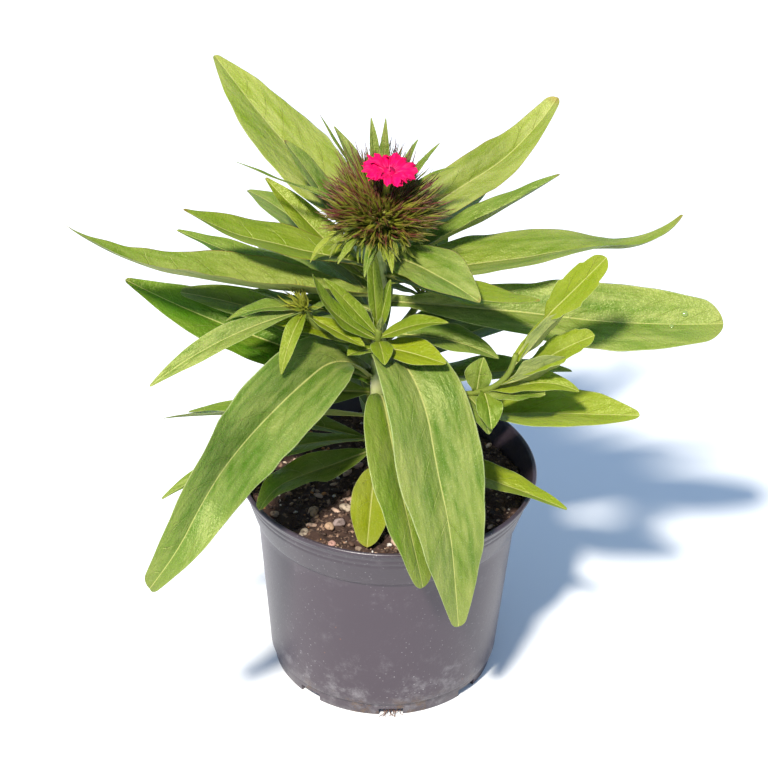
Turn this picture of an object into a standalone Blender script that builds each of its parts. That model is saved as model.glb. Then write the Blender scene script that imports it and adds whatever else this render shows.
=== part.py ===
"""A potted sweet william: a nursery pot of soil with one flowering stem, its leaves and its side shoots.

The pot stands on z = 0 with its centre at the origin, and the plant leans over the rim on every side.
Sizes in the tables are millimetres and angles are degrees. A compass angle is counted from +X towards +Y.
"""
import math

import bmesh
import bpy
import numpy as np
from mathutils import Matrix, Vector

# Driving sizes in millimetres
MM = 0.001
SEED = 7
GAP = 0.3
POT_HEIGHT = 92.6
RIM_RADIUS = 60.0
BAND_HEIGHT = 19.8
BAND_FOOT_RADIUS = 53.4
WALL_TOP_RADIUS = 52.4
LEDGE_HEIGHT = 6.8
LEDGE_RADIUS = 47.3
FOOT_RADIUS = 45.6
WALL = 1.2
POT_SIDES = 40
NOTCHES = 8
FIRST_NOTCH = -85.0
NOTCH_SIZE = (9.0, 10.0, 6.4)
NOTCH_RADIUS = 45.0
SOIL_LEVEL = 82.0
SOIL_SIDES = 36
SOIL_RINGS = 7
CHIPS = 16
CHIP_SHAPE = (1.0, 0.8, 0.62)
STEM_X = -5.0
STEM_RADIUS = 2.6
STEM_FOOT = 70.0
STEM_TOP = 198.7
STEM_SIDES = 10
STALK_STEPS = 6
CORE_HEIGHT = 206.0
CORE_RADIUS = 10.0
CORE_HALF_HEIGHT = 7.0
HEAD_EYE = (STEM_X, 0.0, 203.0)
HEAD_REACH = 29.5
NEEDLES = 134
NEEDLE_ROOT = 6.0
NEEDLE_SPREAD = 1.12
NEEDLE_CLEARANCE = 2.3
BLOOM_CONE = 34.0
BLOOM_CLEARANCE = 19.0
BLADE = 0.8
LONG_LEAF = 60.0
BROAD_LEAF = 16.0
BLOOM_CENTRE = (-2.5, -6.0, 227.0)
BLOOM_RADIUS = 11.0
BLOOM_PETALS = 5
BLOOM_TUBE = 3.4
PETAL_BLADE = 0.7


def leaf(name, height, compass, length, width, rise, swing=(0, 0), roll=(0, 0), fold=18, wave=0.6,
         waves=2.5, widest=0.5, point=0.9, neck=0.2, petiole=0, teeth=0, stem=(STEM_X, 0),
         off=STEM_RADIUS + GAP + 0.1):
    """One leaf. height and compass say where it leaves its stem, and off how far from the stem's axis.

    rise is the midrib's angle above the level at even steps along it, roll the blade's turn about the
    midrib, swing its turn sideways, fold the angle of its V, widest where the blade is broadest, and
    petiole the share of its length that is a bare stalk.
    """
    return dict(name=name, height=height, compass=compass, length=length, width=width, rise=rise,
                swing=swing, roll=roll, fold=fold, wave=wave, waves=waves, widest=widest, point=point,
                neck=neck, petiole=petiole, teeth=teeth, stem=stem, off=off)


LEAVES = [
    leaf("leaf_back_left_pale", 191, 134, 105, 32, (30, 22, 27, 31), fold=12, widest=0.48),
    leaf("leaf_back_right", 193, 45, 100, 20, (20, 6, 42), roll=(-20, -30, 0), fold=22, widest=0.46,
         point=0.6),
    leaf("leaf_behind_head_left", 193, 153, 52, 13, (22, 48, 46), widest=0.6, neck=0.15),
    leaf("leaf_upright_left", 176, 150, 58, 13, (26, 34, 36), roll=(20, 20)),
    leaf("leaf_upper_left", 184, 181, 75, 21, (16, 12, 32), roll=(8, 0)),
    leaf("leaf_long_left", 172, 187, 122, 26, (6, 8, 18, 44), fold=40, point=1.3, widest=0.4),
    leaf("leaf_left_hidden", 164, 160, 84, 16, (12, 12, 12)),
    leaf("leaf_mid_left", 133, 172, 103, 25, (18, 17, 26), roll=(35, 30)),
    leaf("leaf_front_left_big", 136, 199, 145, 33, (53, -2, -22, -4, -48, -58), roll=(10, 37, 47, 42),
         swing=(0, 38, 29, 50, 34, -17), fold=26, petiole=0.1, widest=0.3, point=0.65, neck=0.22, wave=1.0,
         waves=3, off=3.2),
    leaf("leaf_front_left_inner", 127.5, 188, 50, 17, (6, 4, 0), roll=(30, 30)),
    leaf("leaf_left_edge_on", 117, 193, 82, 14, (10, 6, 0), roll=(-33, -33)),
    leaf("leaf_left_low", 106, 201, 88, 15, (10, -4, -30)),
    leaf("leaf_soil_left", 100, 205, 59, 15, (-10, 2, 10, -24), swing=(0, 18, 40), roll=(40, 15, -9),
         point=0.7, wave=1.2),
    leaf("leaf_front_big", 146, -63, 130, 36, (46, -16, -66, -58, -76, -78), roll=(7, -8, -4), fold=14,
         widest=0.41, point=0.79),
    leaf("leaf_front_second", 124, -83, 96, 25, (74, -21, -39, -55, -70), swing=(0, 8, 30), roll=(5, 12, 12),
         fold=10, petiole=0.12, widest=0.46, point=0.65),
    leaf("leaf_soil_yellow", 93, -93, 42, 17, (-4, -14, -18), point=0.6),
    leaf("leaf_right_folded", 185, 18, 74, 16, (18, 22, 30), fold=35, roll=(10, 10)),
    leaf("leaf_long_right", 177.5, 6, 118, 28, (19, 6, 9, -2, 60), roll=(-20, -6, 0, 21, -2), widest=0.41),
    leaf("leaf_big_right", 169, -2, 129, 30, (-1, -5, 5), roll=(-30, -34, -29), widest=0.65, point=0.54),
    leaf("leaf_front_right_upper", 191, -46, 50, 22, (12, 0, -8), roll=(-20, -10)),
    leaf("leaf_front_right_lower", 182, -33, 68, 17, (2, 5, 26)),
    leaf("leaf_low_right", 113, -17, 105, 28, (23, 13, 10), roll=(-12, 5, -28), widest=0.56),
    leaf("leaf_rim_right", 98, -20, 78, 17, (6, -4, -14)),
    leaf("leaf_back_high", 182, 98, 80, 22, (12, 6, -8)),
    leaf("leaf_back_high_right", 174, 62, 102, 24, (16, 6, -10)),
    leaf("leaf_back_mid_left", 150, 124, 94, 24, (12, 2, -18)),
    leaf("leaf_back_mid", 141, 98, 112, 27, (18, 0, -30)),
    leaf("leaf_back_mid_right", 137, 28, 108, 24, (14, 4, -10)),
    leaf("leaf_back_low_left", 130, 140, 94, 22, (12, 4, -20)),
    leaf("leaf_back_low", 114, 106, 92, 20, (12, 0, -30)),
    leaf("leaf_back_low_right", 118, 66, 96, 22, (14, 2, -24)),
    leaf("leaf_back_rim", 101, 90, 74, 17, (6, -4, -20)),
    leaf("leaf_right_rim_back", 104, 28, 80, 18, (8, 0, -18)),
    leaf("leaf_left_rim_back", 104, 164, 78, 16, (8, 0, -18)),
    leaf("leaf_right_mid", 128, 10, 76, 18, (10, 4, -10)),
    leaf("leaf_right_inner", 155, -17, 46, 15, (10, 2, -24), roll=(-10, -10)),
    leaf("leaf_right_drooping", 118.5, -46, 54, 16, (10, -4, -40), petiole=0.2),
    leaf("leaf_right_crossing", 152.5, 16, 64, 20, (12, 8, -6)),
    leaf("leaf_left_round", 146, 160, 78, 18, (16, 12, 10), swing=(0, 22), roll=(20, 20), point=0.7),
    leaf("leaf_left_inner", 157, 171, 48, 14, (18, 8, -12)),
    leaf("leaf_back_upper_left", 168, 128, 88, 20, (18, 8, -8)),
    leaf("leaf_low_front_right", 104, -44, 58, 15, (20, 4, -30)),
]

STALKS = {
    "front_shoot": dict(start=(STEM_X, -3.2, 152), end=(STEM_X, -14, 165), radius=1.5, bend=1.0),
    "left_shoot": dict(start=(-8.1, -0.8, 152), end=(-33.5, -9, 171), radius=1.6, bend=0.75),
    "back_shoot": dict(start=(-3.2, 2.7, 149), end=(12, 26, 158), radius=1.6, bend=0.75),
    "right_shoot": dict(start=(-2.2, -1.5, 134), end=(46.2, -33, 167), radius=1.2, bend=0.9),
}


def stalk_point(name, at):
    """A point of a side stalk, at 0 to 1: it leaves the stem level, away from its axis, and bends up."""
    first = np.array(STALKS[name]["start"], float)
    last = np.array(STALKS[name]["end"], float)
    away = np.array([first[0] - STEM_X, first[1], 0.0])
    away = away / np.linalg.norm(away) * np.linalg.norm((last - first)[:2])
    middle = first + away * STALKS[name]["bend"]
    return first * (1 - at) ** 2 + middle * 2 * at * (1 - at) + last * at ** 2


def small_leaf(stalk, at, compass, length, width, rise, **more):
    """A leaf of a side shoot, rooted inside its stalk."""
    x, y, height = stalk_point(stalk, at)
    return leaf("small_leaf", height, compass, length, width, rise, stem=(x, y), off=0.4, wave=0.3, **more)


def toothed_leaf(at, compass, length, width, rise, teeth, **more):
    """A leaf with cut edges, rooted inside the right shoot's stalk."""
    x, y, height = stalk_point("right_shoot", at)
    return leaf("toothed_leaf", height, compass, length, width, rise, stem=(x, y), off=0.3,
                teeth=teeth, neck=0.3, **more)


SHOOT_LEAVES = {
    "front_shoot": [
        small_leaf("front_shoot", 0.92, 120, 36, 7, (76, 80, 88)),
        small_leaf("front_shoot", 0.78, 192, 41, 9, (30, 48, 78), roll=(40, 20)),
        small_leaf("front_shoot", 0.88, 165, 30, 7, (44, 46, 40), roll=(40, 30)),
        small_leaf("front_shoot", 0.92, 60, 21, 6, (72, 68, 64)),
        small_leaf("front_shoot", 0.83, -18, 30, 9, (34, 28, 8), roll=(-30, -10)),
        small_leaf("front_shoot", 0.73, -80, 16, 9, (26, -4, -30)),
        small_leaf("front_shoot", 0.55, -32, 30, 14, (10, 6, 0), roll=(-20, -20)),
        small_leaf("front_shoot", 0.48, -150, 13, 11, (10, 0, -10)),
        small_leaf("front_shoot", 0.96, -70, 9, 3, (60, 70, 80)),
        small_leaf("front_shoot", 0.96, 170, 10, 3, (66, 74, 80)),
    ],
    "left_shoot": [
        small_leaf("left_shoot", 0.18, 200, 36, 10, (28, 26, 12), roll=(20, 20), point=0.7),
        small_leaf("left_shoot", 0.95, 209, 67, 10, (2, -14, -30), roll=(10, 40)),
        small_leaf("left_shoot", 0.92, -110, 30, 7, (14, -34, -62)),
        small_leaf("left_shoot", 0.92, 196, 32, 8, (30, 0, -25)),
        small_leaf("left_shoot", 0.92, 40, 14, 4, (10, 0, -10)),
        small_leaf("left_shoot", 0.89, 100, 12, 5, (0, -10, -20)),
        small_leaf("left_shoot", 0.86, -30, 25, 10, (-14, -12, -8)),
        small_leaf("left_shoot", 0.89, 165, 24, 7, (30, 16, 0)),
    ],
    "back_shoot": [
        small_leaf("back_shoot", 0.94, turn, length, width, (34, 20, 4))
        for turn, length, width in ((20, 36, 9), (75, 40, 10), (130, 32, 8), (200, 26, 7), (280, 22, 6),
                                    (330, 30, 8))
    ],
    "right_shoot": [
        toothed_leaf(0.96, -4, 55, 13, (68, 52, 54), 6, roll=(-60, -60), petiole=0.38, widest=0.5,
                     point=0.6),
        toothed_leaf(0.92, -12, 31, 8, (55, 60, 44), 0, roll=(60, 60), widest=0.6),
        toothed_leaf(0.74, -9, 41, 12, (32, 42, 30), 6, roll=(-30, -40), petiole=0.1, widest=0.62,
                     point=0.6),
        toothed_leaf(0.72, -20, 30, 13, (20, 42, 36), 0, roll=(60, 50), widest=0.6),
        toothed_leaf(0.60, -16, 36, 11, (20, 20, -20), 0, roll=(-20, -20)),
        toothed_leaf(0.58, -28, 25, 9, (6, 20, 10), 0, roll=(-30, -20), point=0.6),
        toothed_leaf(0.56, -78, 17, 11, (0, -30, -60), 0),
        toothed_leaf(0.50, 40, 15, 11, (84, 82, 70), 0, roll=(-30, -30)),
        toothed_leaf(0.42, -60, 21, 12, (10, -20, -60), 0),
    ],
}

HEAD_BRACTS = [
    leaf("bract", 206, 112, 36, 3.4, (80, 74, 70), off=3, wave=0.2),
    leaf("bract", 206, 84, 37, 2.6, (84, 82, 86), off=3, wave=0.2),
    leaf("bract", 206, 26, 33, 3.4, (62, 52, 40), off=3, wave=0.2),
    leaf("bract", 205, 14, 32, 3.4, (52, 42, 10), off=3, wave=0.2),
    leaf("bract", 206, 145, 36, 8, (66, 56, 50), off=3, wave=0.2),
    leaf("bract", 206, 150, 42, 2.4, (60, 54, 50), off=3, wave=0.2),
    leaf("bract", 204, 175, 56, 3.2, (28, 18, 22), off=3, wave=0.4),
    leaf("bract", 206, -20, 26, 3, (48, 44, 40), off=3, wave=0.2),
    leaf("bract", 205, 60, 32, 4, (50, 46, 30), off=3, wave=0.2),
    leaf("bract", 203, 205, 30, 5, (10, -22, -60), off=3, wave=0.3),
    leaf("bract", 202, -102, 26, 4, (6, -14, -50), off=3, wave=0.3),
    leaf("bract", 202, -80, 25, 4, (6, -10, -40), off=3, wave=0.3),
    leaf("bract", 203, -124, 26, 4, (8, -8, -40), off=3, wave=0.3),
]


def midrib(row, steps):
    """Follows the midrib, whose rise and turn run evenly between their angles.

    Returns the points, the unit tangents, the sideways vectors and the upward ones, turned by the roll.
    """
    fine = np.linspace(0, 1, 241)
    stations = np.linspace(0, 1, len(row["rise"]))
    rise = np.radians(np.interp(fine, stations, row["rise"]))
    swing = np.interp(fine, np.linspace(0, 1, len(row["swing"])), row["swing"])
    compass = np.radians(row["compass"] + swing)
    step = np.stack([np.cos(rise) * np.cos(compass), np.cos(rise) * np.sin(compass), np.sin(rise)], 1)
    middles = (step[1:] + step[:-1]) / 2 * row["length"] / 240
    start = np.radians(row["compass"])
    base = np.array([row["stem"][0] + row["off"] * math.cos(start),
                     row["stem"][1] + row["off"] * math.sin(start), row["height"]])
    points = base + np.vstack([np.zeros(3), np.cumsum(middles, axis=0)])
    along = np.linspace(0, 1, steps + 1)
    point = np.stack([np.interp(along, fine, points[:, k]) for k in range(3)], 1)
    tangent = np.stack([np.interp(along, fine, step[:, k]) for k in range(3)], 1)
    turn = np.interp(along, fine, compass)
    side = np.stack([np.sin(turn), -np.cos(turn), np.zeros_like(turn)], 1)
    up = np.cross(side, tangent)
    roll = np.radians(np.interp(along, np.linspace(0, 1, len(row["roll"])), row["roll"]))[:, None]
    across = side * np.cos(roll) + up * np.sin(roll)
    above = up * np.cos(roll) - side * np.sin(roll)
    return along, point, across, above


def half_width(row, along):
    """A lance shape past the petiole: a sine bulge moved to its widest place, never under a tapering neck."""
    share = np.clip((along - row["petiole"]) / (1 - row["petiole"]), 0, 1)
    moved = share ** (math.log(0.5) / math.log(row["widest"]))
    bulge = np.sin(np.pi * moved) ** row["point"]
    neck = row["neck"] * (1 - along) ** 2
    half = row["width"] / 2 * np.maximum(bulge, neck)
    if row["teeth"]:
        half = half * (1 + 0.16 * ((along * row["teeth"]) % 1.0 - 0.5))
    return half


def blade(row, steps, columns):
    """The blade as a grid of points: a V across the midrib, rounded at its keel, with waved margins."""
    along, point, across, above = midrib(row, steps)
    half = half_width(row, along)[:, None]
    over = np.linspace(-1, 1, columns + 1)[None, :]
    s = along[:, None]
    fold = math.radians(row["fold"])
    reach = np.sqrt(over ** 2 + 0.01) - 0.1
    sideways = half * over * math.cos(fold)
    wave = row["wave"] * np.sin(2 * np.pi * row["waves"] * s + 1.1 * np.sign(over)) * over ** 2
    wave = wave * np.sin(np.pi * s)
    lift = half * reach * math.sin(fold) + wave
    return point[:, None, :] + sideways[..., None] * across[:, None, :] + lift[..., None] * above[:, None, :]


def petal(index, steps, columns):
    """One petal round the bloom's axis: a fan with a frilled edge, one side higher so that petals overlap."""
    out = np.linspace(0, 1, steps + 1)[:, None]
    over = np.linspace(-1, 1, columns + 1)[None, :]
    turn = 2 * math.pi * index / BLOOM_PETALS + math.radians(43) * over * (0.5 + 0.5 * out)
    frill = 1 - 0.13 * np.abs((over * 2.5 + 0.5) % 1.0 - 0.5) * 2 - 0.05 * over ** 2
    reach = 1.0 + (BLOOM_RADIUS * frill - 1.0) * out
    height = 1.2 * np.sin(2.2 * out) + 1.1 * over * out - 0.8 * out ** 3 + 0.4 * np.sin(5 * over) * out ** 2
    return np.stack([reach * np.cos(turn), reach * np.sin(turn), height], 2)


def bloom_axis():
    """The bloom faces straight away from the head's eye."""
    axis = np.array(BLOOM_CENTRE) - np.array(HEAD_EYE)
    return axis / np.linalg.norm(axis)


def needle_rows():
    """The awl-shaped buds: start, end and root radius of each, spread evenly over a dome.

    An awl that would meet a leaf is tilted up until it clears, and those under the bloom stop short of it.
    """
    rng = np.random.default_rng(SEED)
    eye = np.array(HEAD_EYE)
    near = [row for row in LEAVES + SHOOT_LEAVES["front_shoot"] if row["height"] > 155]
    blades = np.concatenate([blade(row, 24, 6).reshape(-1, 3) for row in near])
    blades = blades[np.linalg.norm(blades - eye, axis=1) < 1.3 * HEAD_REACH]
    axis = bloom_axis()
    rows = []
    for k in range(NEEDLES):
        level = 1 - (k + 0.5) / NEEDLES * NEEDLE_SPREAD
        turn = k * math.pi * (3 - math.sqrt(5))
        reach = HEAD_REACH * rng.uniform(0.88, 1.03)
        radius = rng.uniform(1.0, 1.35)
        climb = math.asin(level)
        for attempt in range(9):
            level_part = math.cos(climb)
            way = np.array([level_part * math.cos(turn), level_part * math.sin(turn), math.sin(climb)])
            if way @ axis > math.cos(math.radians(BLOOM_CONE)):
                reach = min(reach, BLOOM_CLEARANCE / (way @ axis))
            along = np.linspace(1.3 * NEEDLE_ROOT, reach, 10)[:, None]
            gaps = np.linalg.norm((eye + way * along)[:, None, :] - blades[None], axis=2)
            if gaps.min() > NEEDLE_CLEARANCE:
                rows.append((eye + way * NEEDLE_ROOT, eye + way * reach, radius))
                break
            climb += math.radians(7)
    return rows


# Blender objects


def material(name, colour, roughness):
    """A plain surface with its colour and roughness."""
    made = bpy.data.materials.new(name)
    made.use_nodes = True
    surface = made.node_tree.nodes["Principled BSDF"]
    surface.inputs["Base Color"].default_value = (*colour, 1.0)
    surface.inputs["Roughness"].default_value = roughness
    return made


def put(name, mesh, collection, surface=None):
    """Makes an object from a mesh in a collection."""
    made = bpy.data.objects.new(name, mesh)
    collection.objects.link(made)
    if surface:
        mesh.materials.append(surface)
    return made


def mesh_of(name, build):
    """A mesh filled by build(bm)."""
    shape = bmesh.new()
    build(shape)
    mesh = bpy.data.meshes.new(name)
    shape.to_mesh(mesh)
    shape.free()
    return mesh


def settle(target):
    """Replaces an object's mesh by what its modifiers make of it."""
    graph = bpy.context.evaluated_depsgraph_get()
    mesh = bpy.data.meshes.new_from_object(target.evaluated_get(graph))
    target.modifiers.clear()
    target.data = mesh
    return target


def one_body(mesh):
    """Keeps the largest closed shell of a mesh: the seams' scraps, flat flaps and sealed hollows go."""
    shape = bmesh.new()
    shape.from_mesh(mesh)
    bmesh.ops.dissolve_degenerate(shape, dist=0.002 * MM, edges=shape.edges)
    bmesh.ops.triangulate(shape, faces=shape.faces)
    twins = {}
    for face in shape.faces:
        twins.setdefault(frozenset(face.verts), []).append(face)
    flaps = [face for pair in twins.values() if len(pair) > 1 for face in pair]
    bmesh.ops.delete(shape, geom=flaps, context="FACES")
    waiting = set(shape.faces)
    shells = []
    while waiting:
        front = [waiting.pop()]
        shell = list(front)
        while front:
            face = front.pop()
            for edge in face.edges:
                for other in edge.link_faces:
                    if other in waiting:
                        waiting.remove(other)
                        front.append(other)
                        shell.append(other)
        shells.append(shell)
    shells.sort(key=len)
    scraps = [face for shell in shells[:-1] for face in shell]
    bmesh.ops.delete(shape, geom=scraps, context="FACES")
    loose = [v for v in shape.verts if not v.link_faces]
    bmesh.ops.delete(shape, geom=loose, context="VERTS")
    shape.to_mesh(mesh)
    shape.free()


def fuse(base, repeats):
    """Joins the repeats of a node into its base by one union, and removes them."""
    union = base.modifiers.new("union", "BOOLEAN")
    union.operation = "UNION"
    union.operand_type = "COLLECTION"
    union.collection = repeats
    union.solver = "MANIFOLD"
    settle(base)
    for piece in list(repeats.objects):
        bpy.data.objects.remove(piece)
    bpy.data.collections.remove(repeats)
    one_body(base.data)
    return base


def repeats_collection():
    """A collection that holds one node's repeats until they are fused."""
    made = bpy.data.collections.new("repeats")
    bpy.context.scene.collection.children.link(made)
    return made


def sheet_object(name, points, thickness, collection, surface):
    """A thin body from a grid of points: split into triangles first, so that both its faces match."""
    rows, columns = points.shape[:2]

    def build(shape):
        bmesh.ops.create_grid(shape, x_segments=columns - 1, y_segments=rows - 1, size=0.5)
        for vertex in shape.verts:
            row = round((vertex.co.y + 0.5) * (rows - 1))
            column = round((vertex.co.x + 0.5) * (columns - 1))
            vertex.co = Vector(points[row, column]) * MM
        bmesh.ops.remove_doubles(shape, verts=shape.verts, dist=0.3 * MM)
        bmesh.ops.triangulate(shape, faces=shape.faces)

    made = put(name, mesh_of(name, build), collection, surface)
    wall = made.modifiers.new("thickness", "SOLIDIFY")
    wall.thickness = thickness * MM
    wall.offset = 0.0
    return settle(made)


def turned(name, profile, steps, collection, surface=None):
    """A body of revolution from a profile of radius and height in millimetres."""
    def build(shape):
        corners = [shape.verts.new((radius * MM, 0, height * MM)) for radius, height in profile]
        for first, second in zip(corners, corners[1:]):
            shape.edges.new((first, second))

    made = put(name, mesh_of(name, build), collection, surface)
    screw = made.modifiers.new("turn", "SCREW")
    screw.steps = steps
    screw.render_steps = steps
    screw.use_merge_vertices = True
    screw.merge_threshold = 0.01 * MM
    return settle(made)


def tube(name, points, radius, collection, surface):
    """A round stalk through points, made a mesh with its caps welded."""
    curve = bpy.data.curves.new(name, "CURVE")
    curve.dimensions = "3D"
    curve.bevel_depth = radius * MM
    curve.bevel_resolution = 2
    curve.use_fill_caps = True
    spline = curve.splines.new("POLY")
    spline.points.add(len(points) - 1)
    for corner, point in zip(spline.points, points):
        corner.co = (*(Vector(point) * MM), 1.0)
    guide = bpy.data.objects.new(name + "_path", curve)
    collection.objects.link(guide)
    graph = bpy.context.evaluated_depsgraph_get()
    mesh = bpy.data.meshes.new_from_object(guide.evaluated_get(graph))
    bpy.data.objects.remove(guide)
    shape = bmesh.new()
    shape.from_mesh(mesh)
    bmesh.ops.remove_doubles(shape, verts=shape.verts, dist=0.01 * MM)
    bmesh.ops.triangulate(shape, faces=shape.faces)
    bmesh.ops.recalc_face_normals(shape, faces=shape.faces)
    shape.to_mesh(mesh)
    shape.free()
    mesh.materials.clear()
    return put(name, mesh, collection, surface)


def make_pot(collection, surface, cutters):
    """The nursery pot: a tapered wall with a wide rim band, a ledge, a foot ring and drain notches."""
    band_foot = POT_HEIGHT - BAND_HEIGHT
    profile = [
        (0, WALL), (29, WALL), (32, WALL + 1.5), (FOOT_RADIUS - WALL, WALL + 1.5),
        (LEDGE_RADIUS - WALL, LEDGE_HEIGHT + WALL), (WALL_TOP_RADIUS - WALL, band_foot - WALL),
        (BAND_FOOT_RADIUS - WALL, band_foot + WALL), (RIM_RADIUS - 1.6 * WALL, POT_HEIGHT - 1),
        (RIM_RADIUS - 1.3 * WALL, POT_HEIGHT), (RIM_RADIUS - 0.2, POT_HEIGHT), (RIM_RADIUS, POT_HEIGHT - 0.6),
        (RIM_RADIUS - 0.3, POT_HEIGHT - 2.4), (RIM_RADIUS - 1.2, POT_HEIGHT - 2.8),
        (BAND_FOOT_RADIUS + 0.4, band_foot + 0.8), (WALL_TOP_RADIUS, band_foot - 0.4),
        (LEDGE_RADIUS, LEDGE_HEIGHT), (FOOT_RADIUS + 0.4, LEDGE_HEIGHT - 0.6), (FOOT_RADIUS, 0),
        (FOOT_RADIUS - 1.6, 0), (FOOT_RADIUS - 1.9, 1.5), (31, 1.5), (28, 0), (0, 0),
    ]
    pot = turned("pot", profile, POT_SIDES, collection, surface)
    for k in range(NOTCHES):
        turn = math.radians(FIRST_NOTCH + 360 / NOTCHES * k)

        def build(shape):
            bmesh.ops.create_cube(shape, size=1.0)
            bmesh.ops.scale(shape, vec=Vector(NOTCH_SIZE) * MM, verts=shape.verts)

        notch = put("notch_cutter", mesh_of("notch", build), cutters)
        notch.matrix_world = Matrix.Rotation(turn, 4, "Z") @ Matrix.Translation((NOTCH_RADIUS * MM, 0, 0))
        notch.hide_render = True
        notch.display_type = "WIRE"
        cut = pot.modifiers.new("drain_notch", "BOOLEAN")
        cut.operation = "DIFFERENCE"
        cut.object = notch
    return pot


def pot_inner_radius(height):
    """The radius of the pot's inner wall at a height."""
    band_foot = POT_HEIGHT - BAND_HEIGHT
    heights = [WALL + 1.5, LEDGE_HEIGHT + WALL, band_foot - WALL, band_foot + WALL, POT_HEIGHT - 1]
    radii = [FOOT_RADIUS - WALL, LEDGE_RADIUS - WALL, WALL_TOP_RADIUS - WALL, BAND_FOOT_RADIUS - WALL,
             RIM_RADIUS - 1.6 * WALL]
    return float(np.interp(height, heights, radii))


def make_soil(collection, surface, cutters):
    """The soil fills the pot to just under its rim, with a lumpy top, chips and a hole for the stem."""
    rng = np.random.default_rng(SEED)
    top_rings = np.linspace(0, pot_inner_radius(SOIL_LEVEL) - GAP - 0.6, SOIL_RINGS)
    profile = [(float(radius), SOIL_LEVEL) for radius in top_rings]
    for height in (SOIL_LEVEL - 1, POT_HEIGHT - BAND_HEIGHT + WALL, POT_HEIGHT - BAND_HEIGHT - WALL,
                   LEDGE_HEIGHT + WALL, WALL + 1.5 + GAP):
        profile.append((pot_inner_radius(height) - GAP - 0.2, height))
    profile.append((0, WALL + 1.5 + GAP))
    soil = turned("soil", profile, SOIL_SIDES, collection, surface)
    for vertex in soil.data.vertices:
        if vertex.co.z > (SOIL_LEVEL - 0.1) * MM:
            x = vertex.co.x / MM
            y = vertex.co.y / MM
            lump = math.sin(0.31 * x + 1) * math.cos(0.27 * y) + 0.6 * math.sin(0.9 * x + 0.7 * y)
            vertex.co.z += (0.9 * lump + rng.uniform(-0.5, 0.5)) * MM
    chips = repeats_collection()
    for k in range(CHIPS):
        distance = 50 * math.sqrt(rng.uniform(0.05, 1))
        turn = rng.uniform(0, 2 * math.pi)
        size = rng.uniform(1.2, 2.8)
        place = Vector((distance * math.cos(turn), distance * math.sin(turn), SOIL_LEVEL + 0.2 * size))

        def build(shape):
            bmesh.ops.create_icosphere(shape, subdivisions=1, radius=size * MM)
            bmesh.ops.scale(shape, vec=CHIP_SHAPE, verts=shape.verts)

        chip = put("chip", mesh_of("chip", build), chips)
        spin = Matrix.Rotation(rng.uniform(0, 3), 4, "Z") @ Matrix.Rotation(rng.uniform(-0.4, 0.4), 4, "X")
        chip.matrix_world = Matrix.Translation(place * MM) @ spin
    fuse(soil, chips)

    radius = (STEM_RADIUS + GAP + 0.1) * MM
    depth = 3 * (SOIL_LEVEL - STEM_FOOT) * MM

    def build_hole(shape):
        bmesh.ops.create_cone(shape, cap_ends=True, segments=STEM_SIDES, depth=depth,
                              radius1=radius, radius2=radius)

    hole = put("stem_hole_cutter", mesh_of("hole", build_hole), cutters)
    hole.matrix_world = Matrix.Translation((STEM_X * MM, 0, (STEM_FOOT - GAP) * MM + depth / 2))
    hole.hide_render = True
    hole.display_type = "WIRE"
    cut = soil.modifiers.new("stem_hole", "BOOLEAN")
    cut.operation = "DIFFERENCE"
    cut.solver = "MANIFOLD"
    cut.object = hole
    return soil


def make_stem(collection, surface):
    """The main stem, from its hole in the soil to the flower head."""
    def build(shape):
        bmesh.ops.create_cone(shape, cap_ends=True, segments=STEM_SIDES, depth=(STEM_TOP - STEM_FOOT) * MM,
                              radius1=STEM_RADIUS * MM, radius2=STEM_RADIUS * MM)

    stem = put("main_stem", mesh_of("main_stem", build), collection, surface)
    stem.location = Vector((STEM_X, 0, (STEM_TOP + STEM_FOOT) / 2)) * MM
    return stem


def make_leaves(collection, surface):
    """Every large leaf of the main stem, each a body of its own."""
    for row in LEAVES:
        steps = 8 if row["length"] > LONG_LEAF else 6
        columns = 4 if row["width"] >= BROAD_LEAF else 2
        sheet_object(row["name"], blade(row, steps, columns), BLADE, collection, surface)


def make_shoot(name, collection, surface):
    """A side shoot: its stalk with its small leaves fused on."""
    points = [stalk_point(name, at) for at in np.linspace(0, 1, STALK_STEPS + 1)]
    base = tube(name, points, STALKS[name]["radius"], collection, surface)
    repeats = repeats_collection()
    for row in SHOOT_LEAVES[name]:
        sheet_object("repeat", blade(row, 5, 2), BLADE, repeats, surface)
    return fuse(base, repeats)


def cone_between(name, start, end, radius, tip, sides, collection, surface):
    """A straight cone from one point to another."""
    first = Vector(start)
    last = Vector(end)
    length = (last - first).length

    def build(shape):
        bmesh.ops.create_cone(shape, cap_ends=True, segments=sides, depth=length * MM,
                              radius1=radius * MM, radius2=tip * MM)
        bmesh.ops.triangulate(shape, faces=shape.faces)

    made = put(name, mesh_of(name, build), collection, surface)
    turn = (last - first).to_track_quat("Z", "Y").to_matrix().to_4x4()
    made.matrix_world = Matrix.Translation((first + last) / 2 * MM) @ turn
    return made


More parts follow.
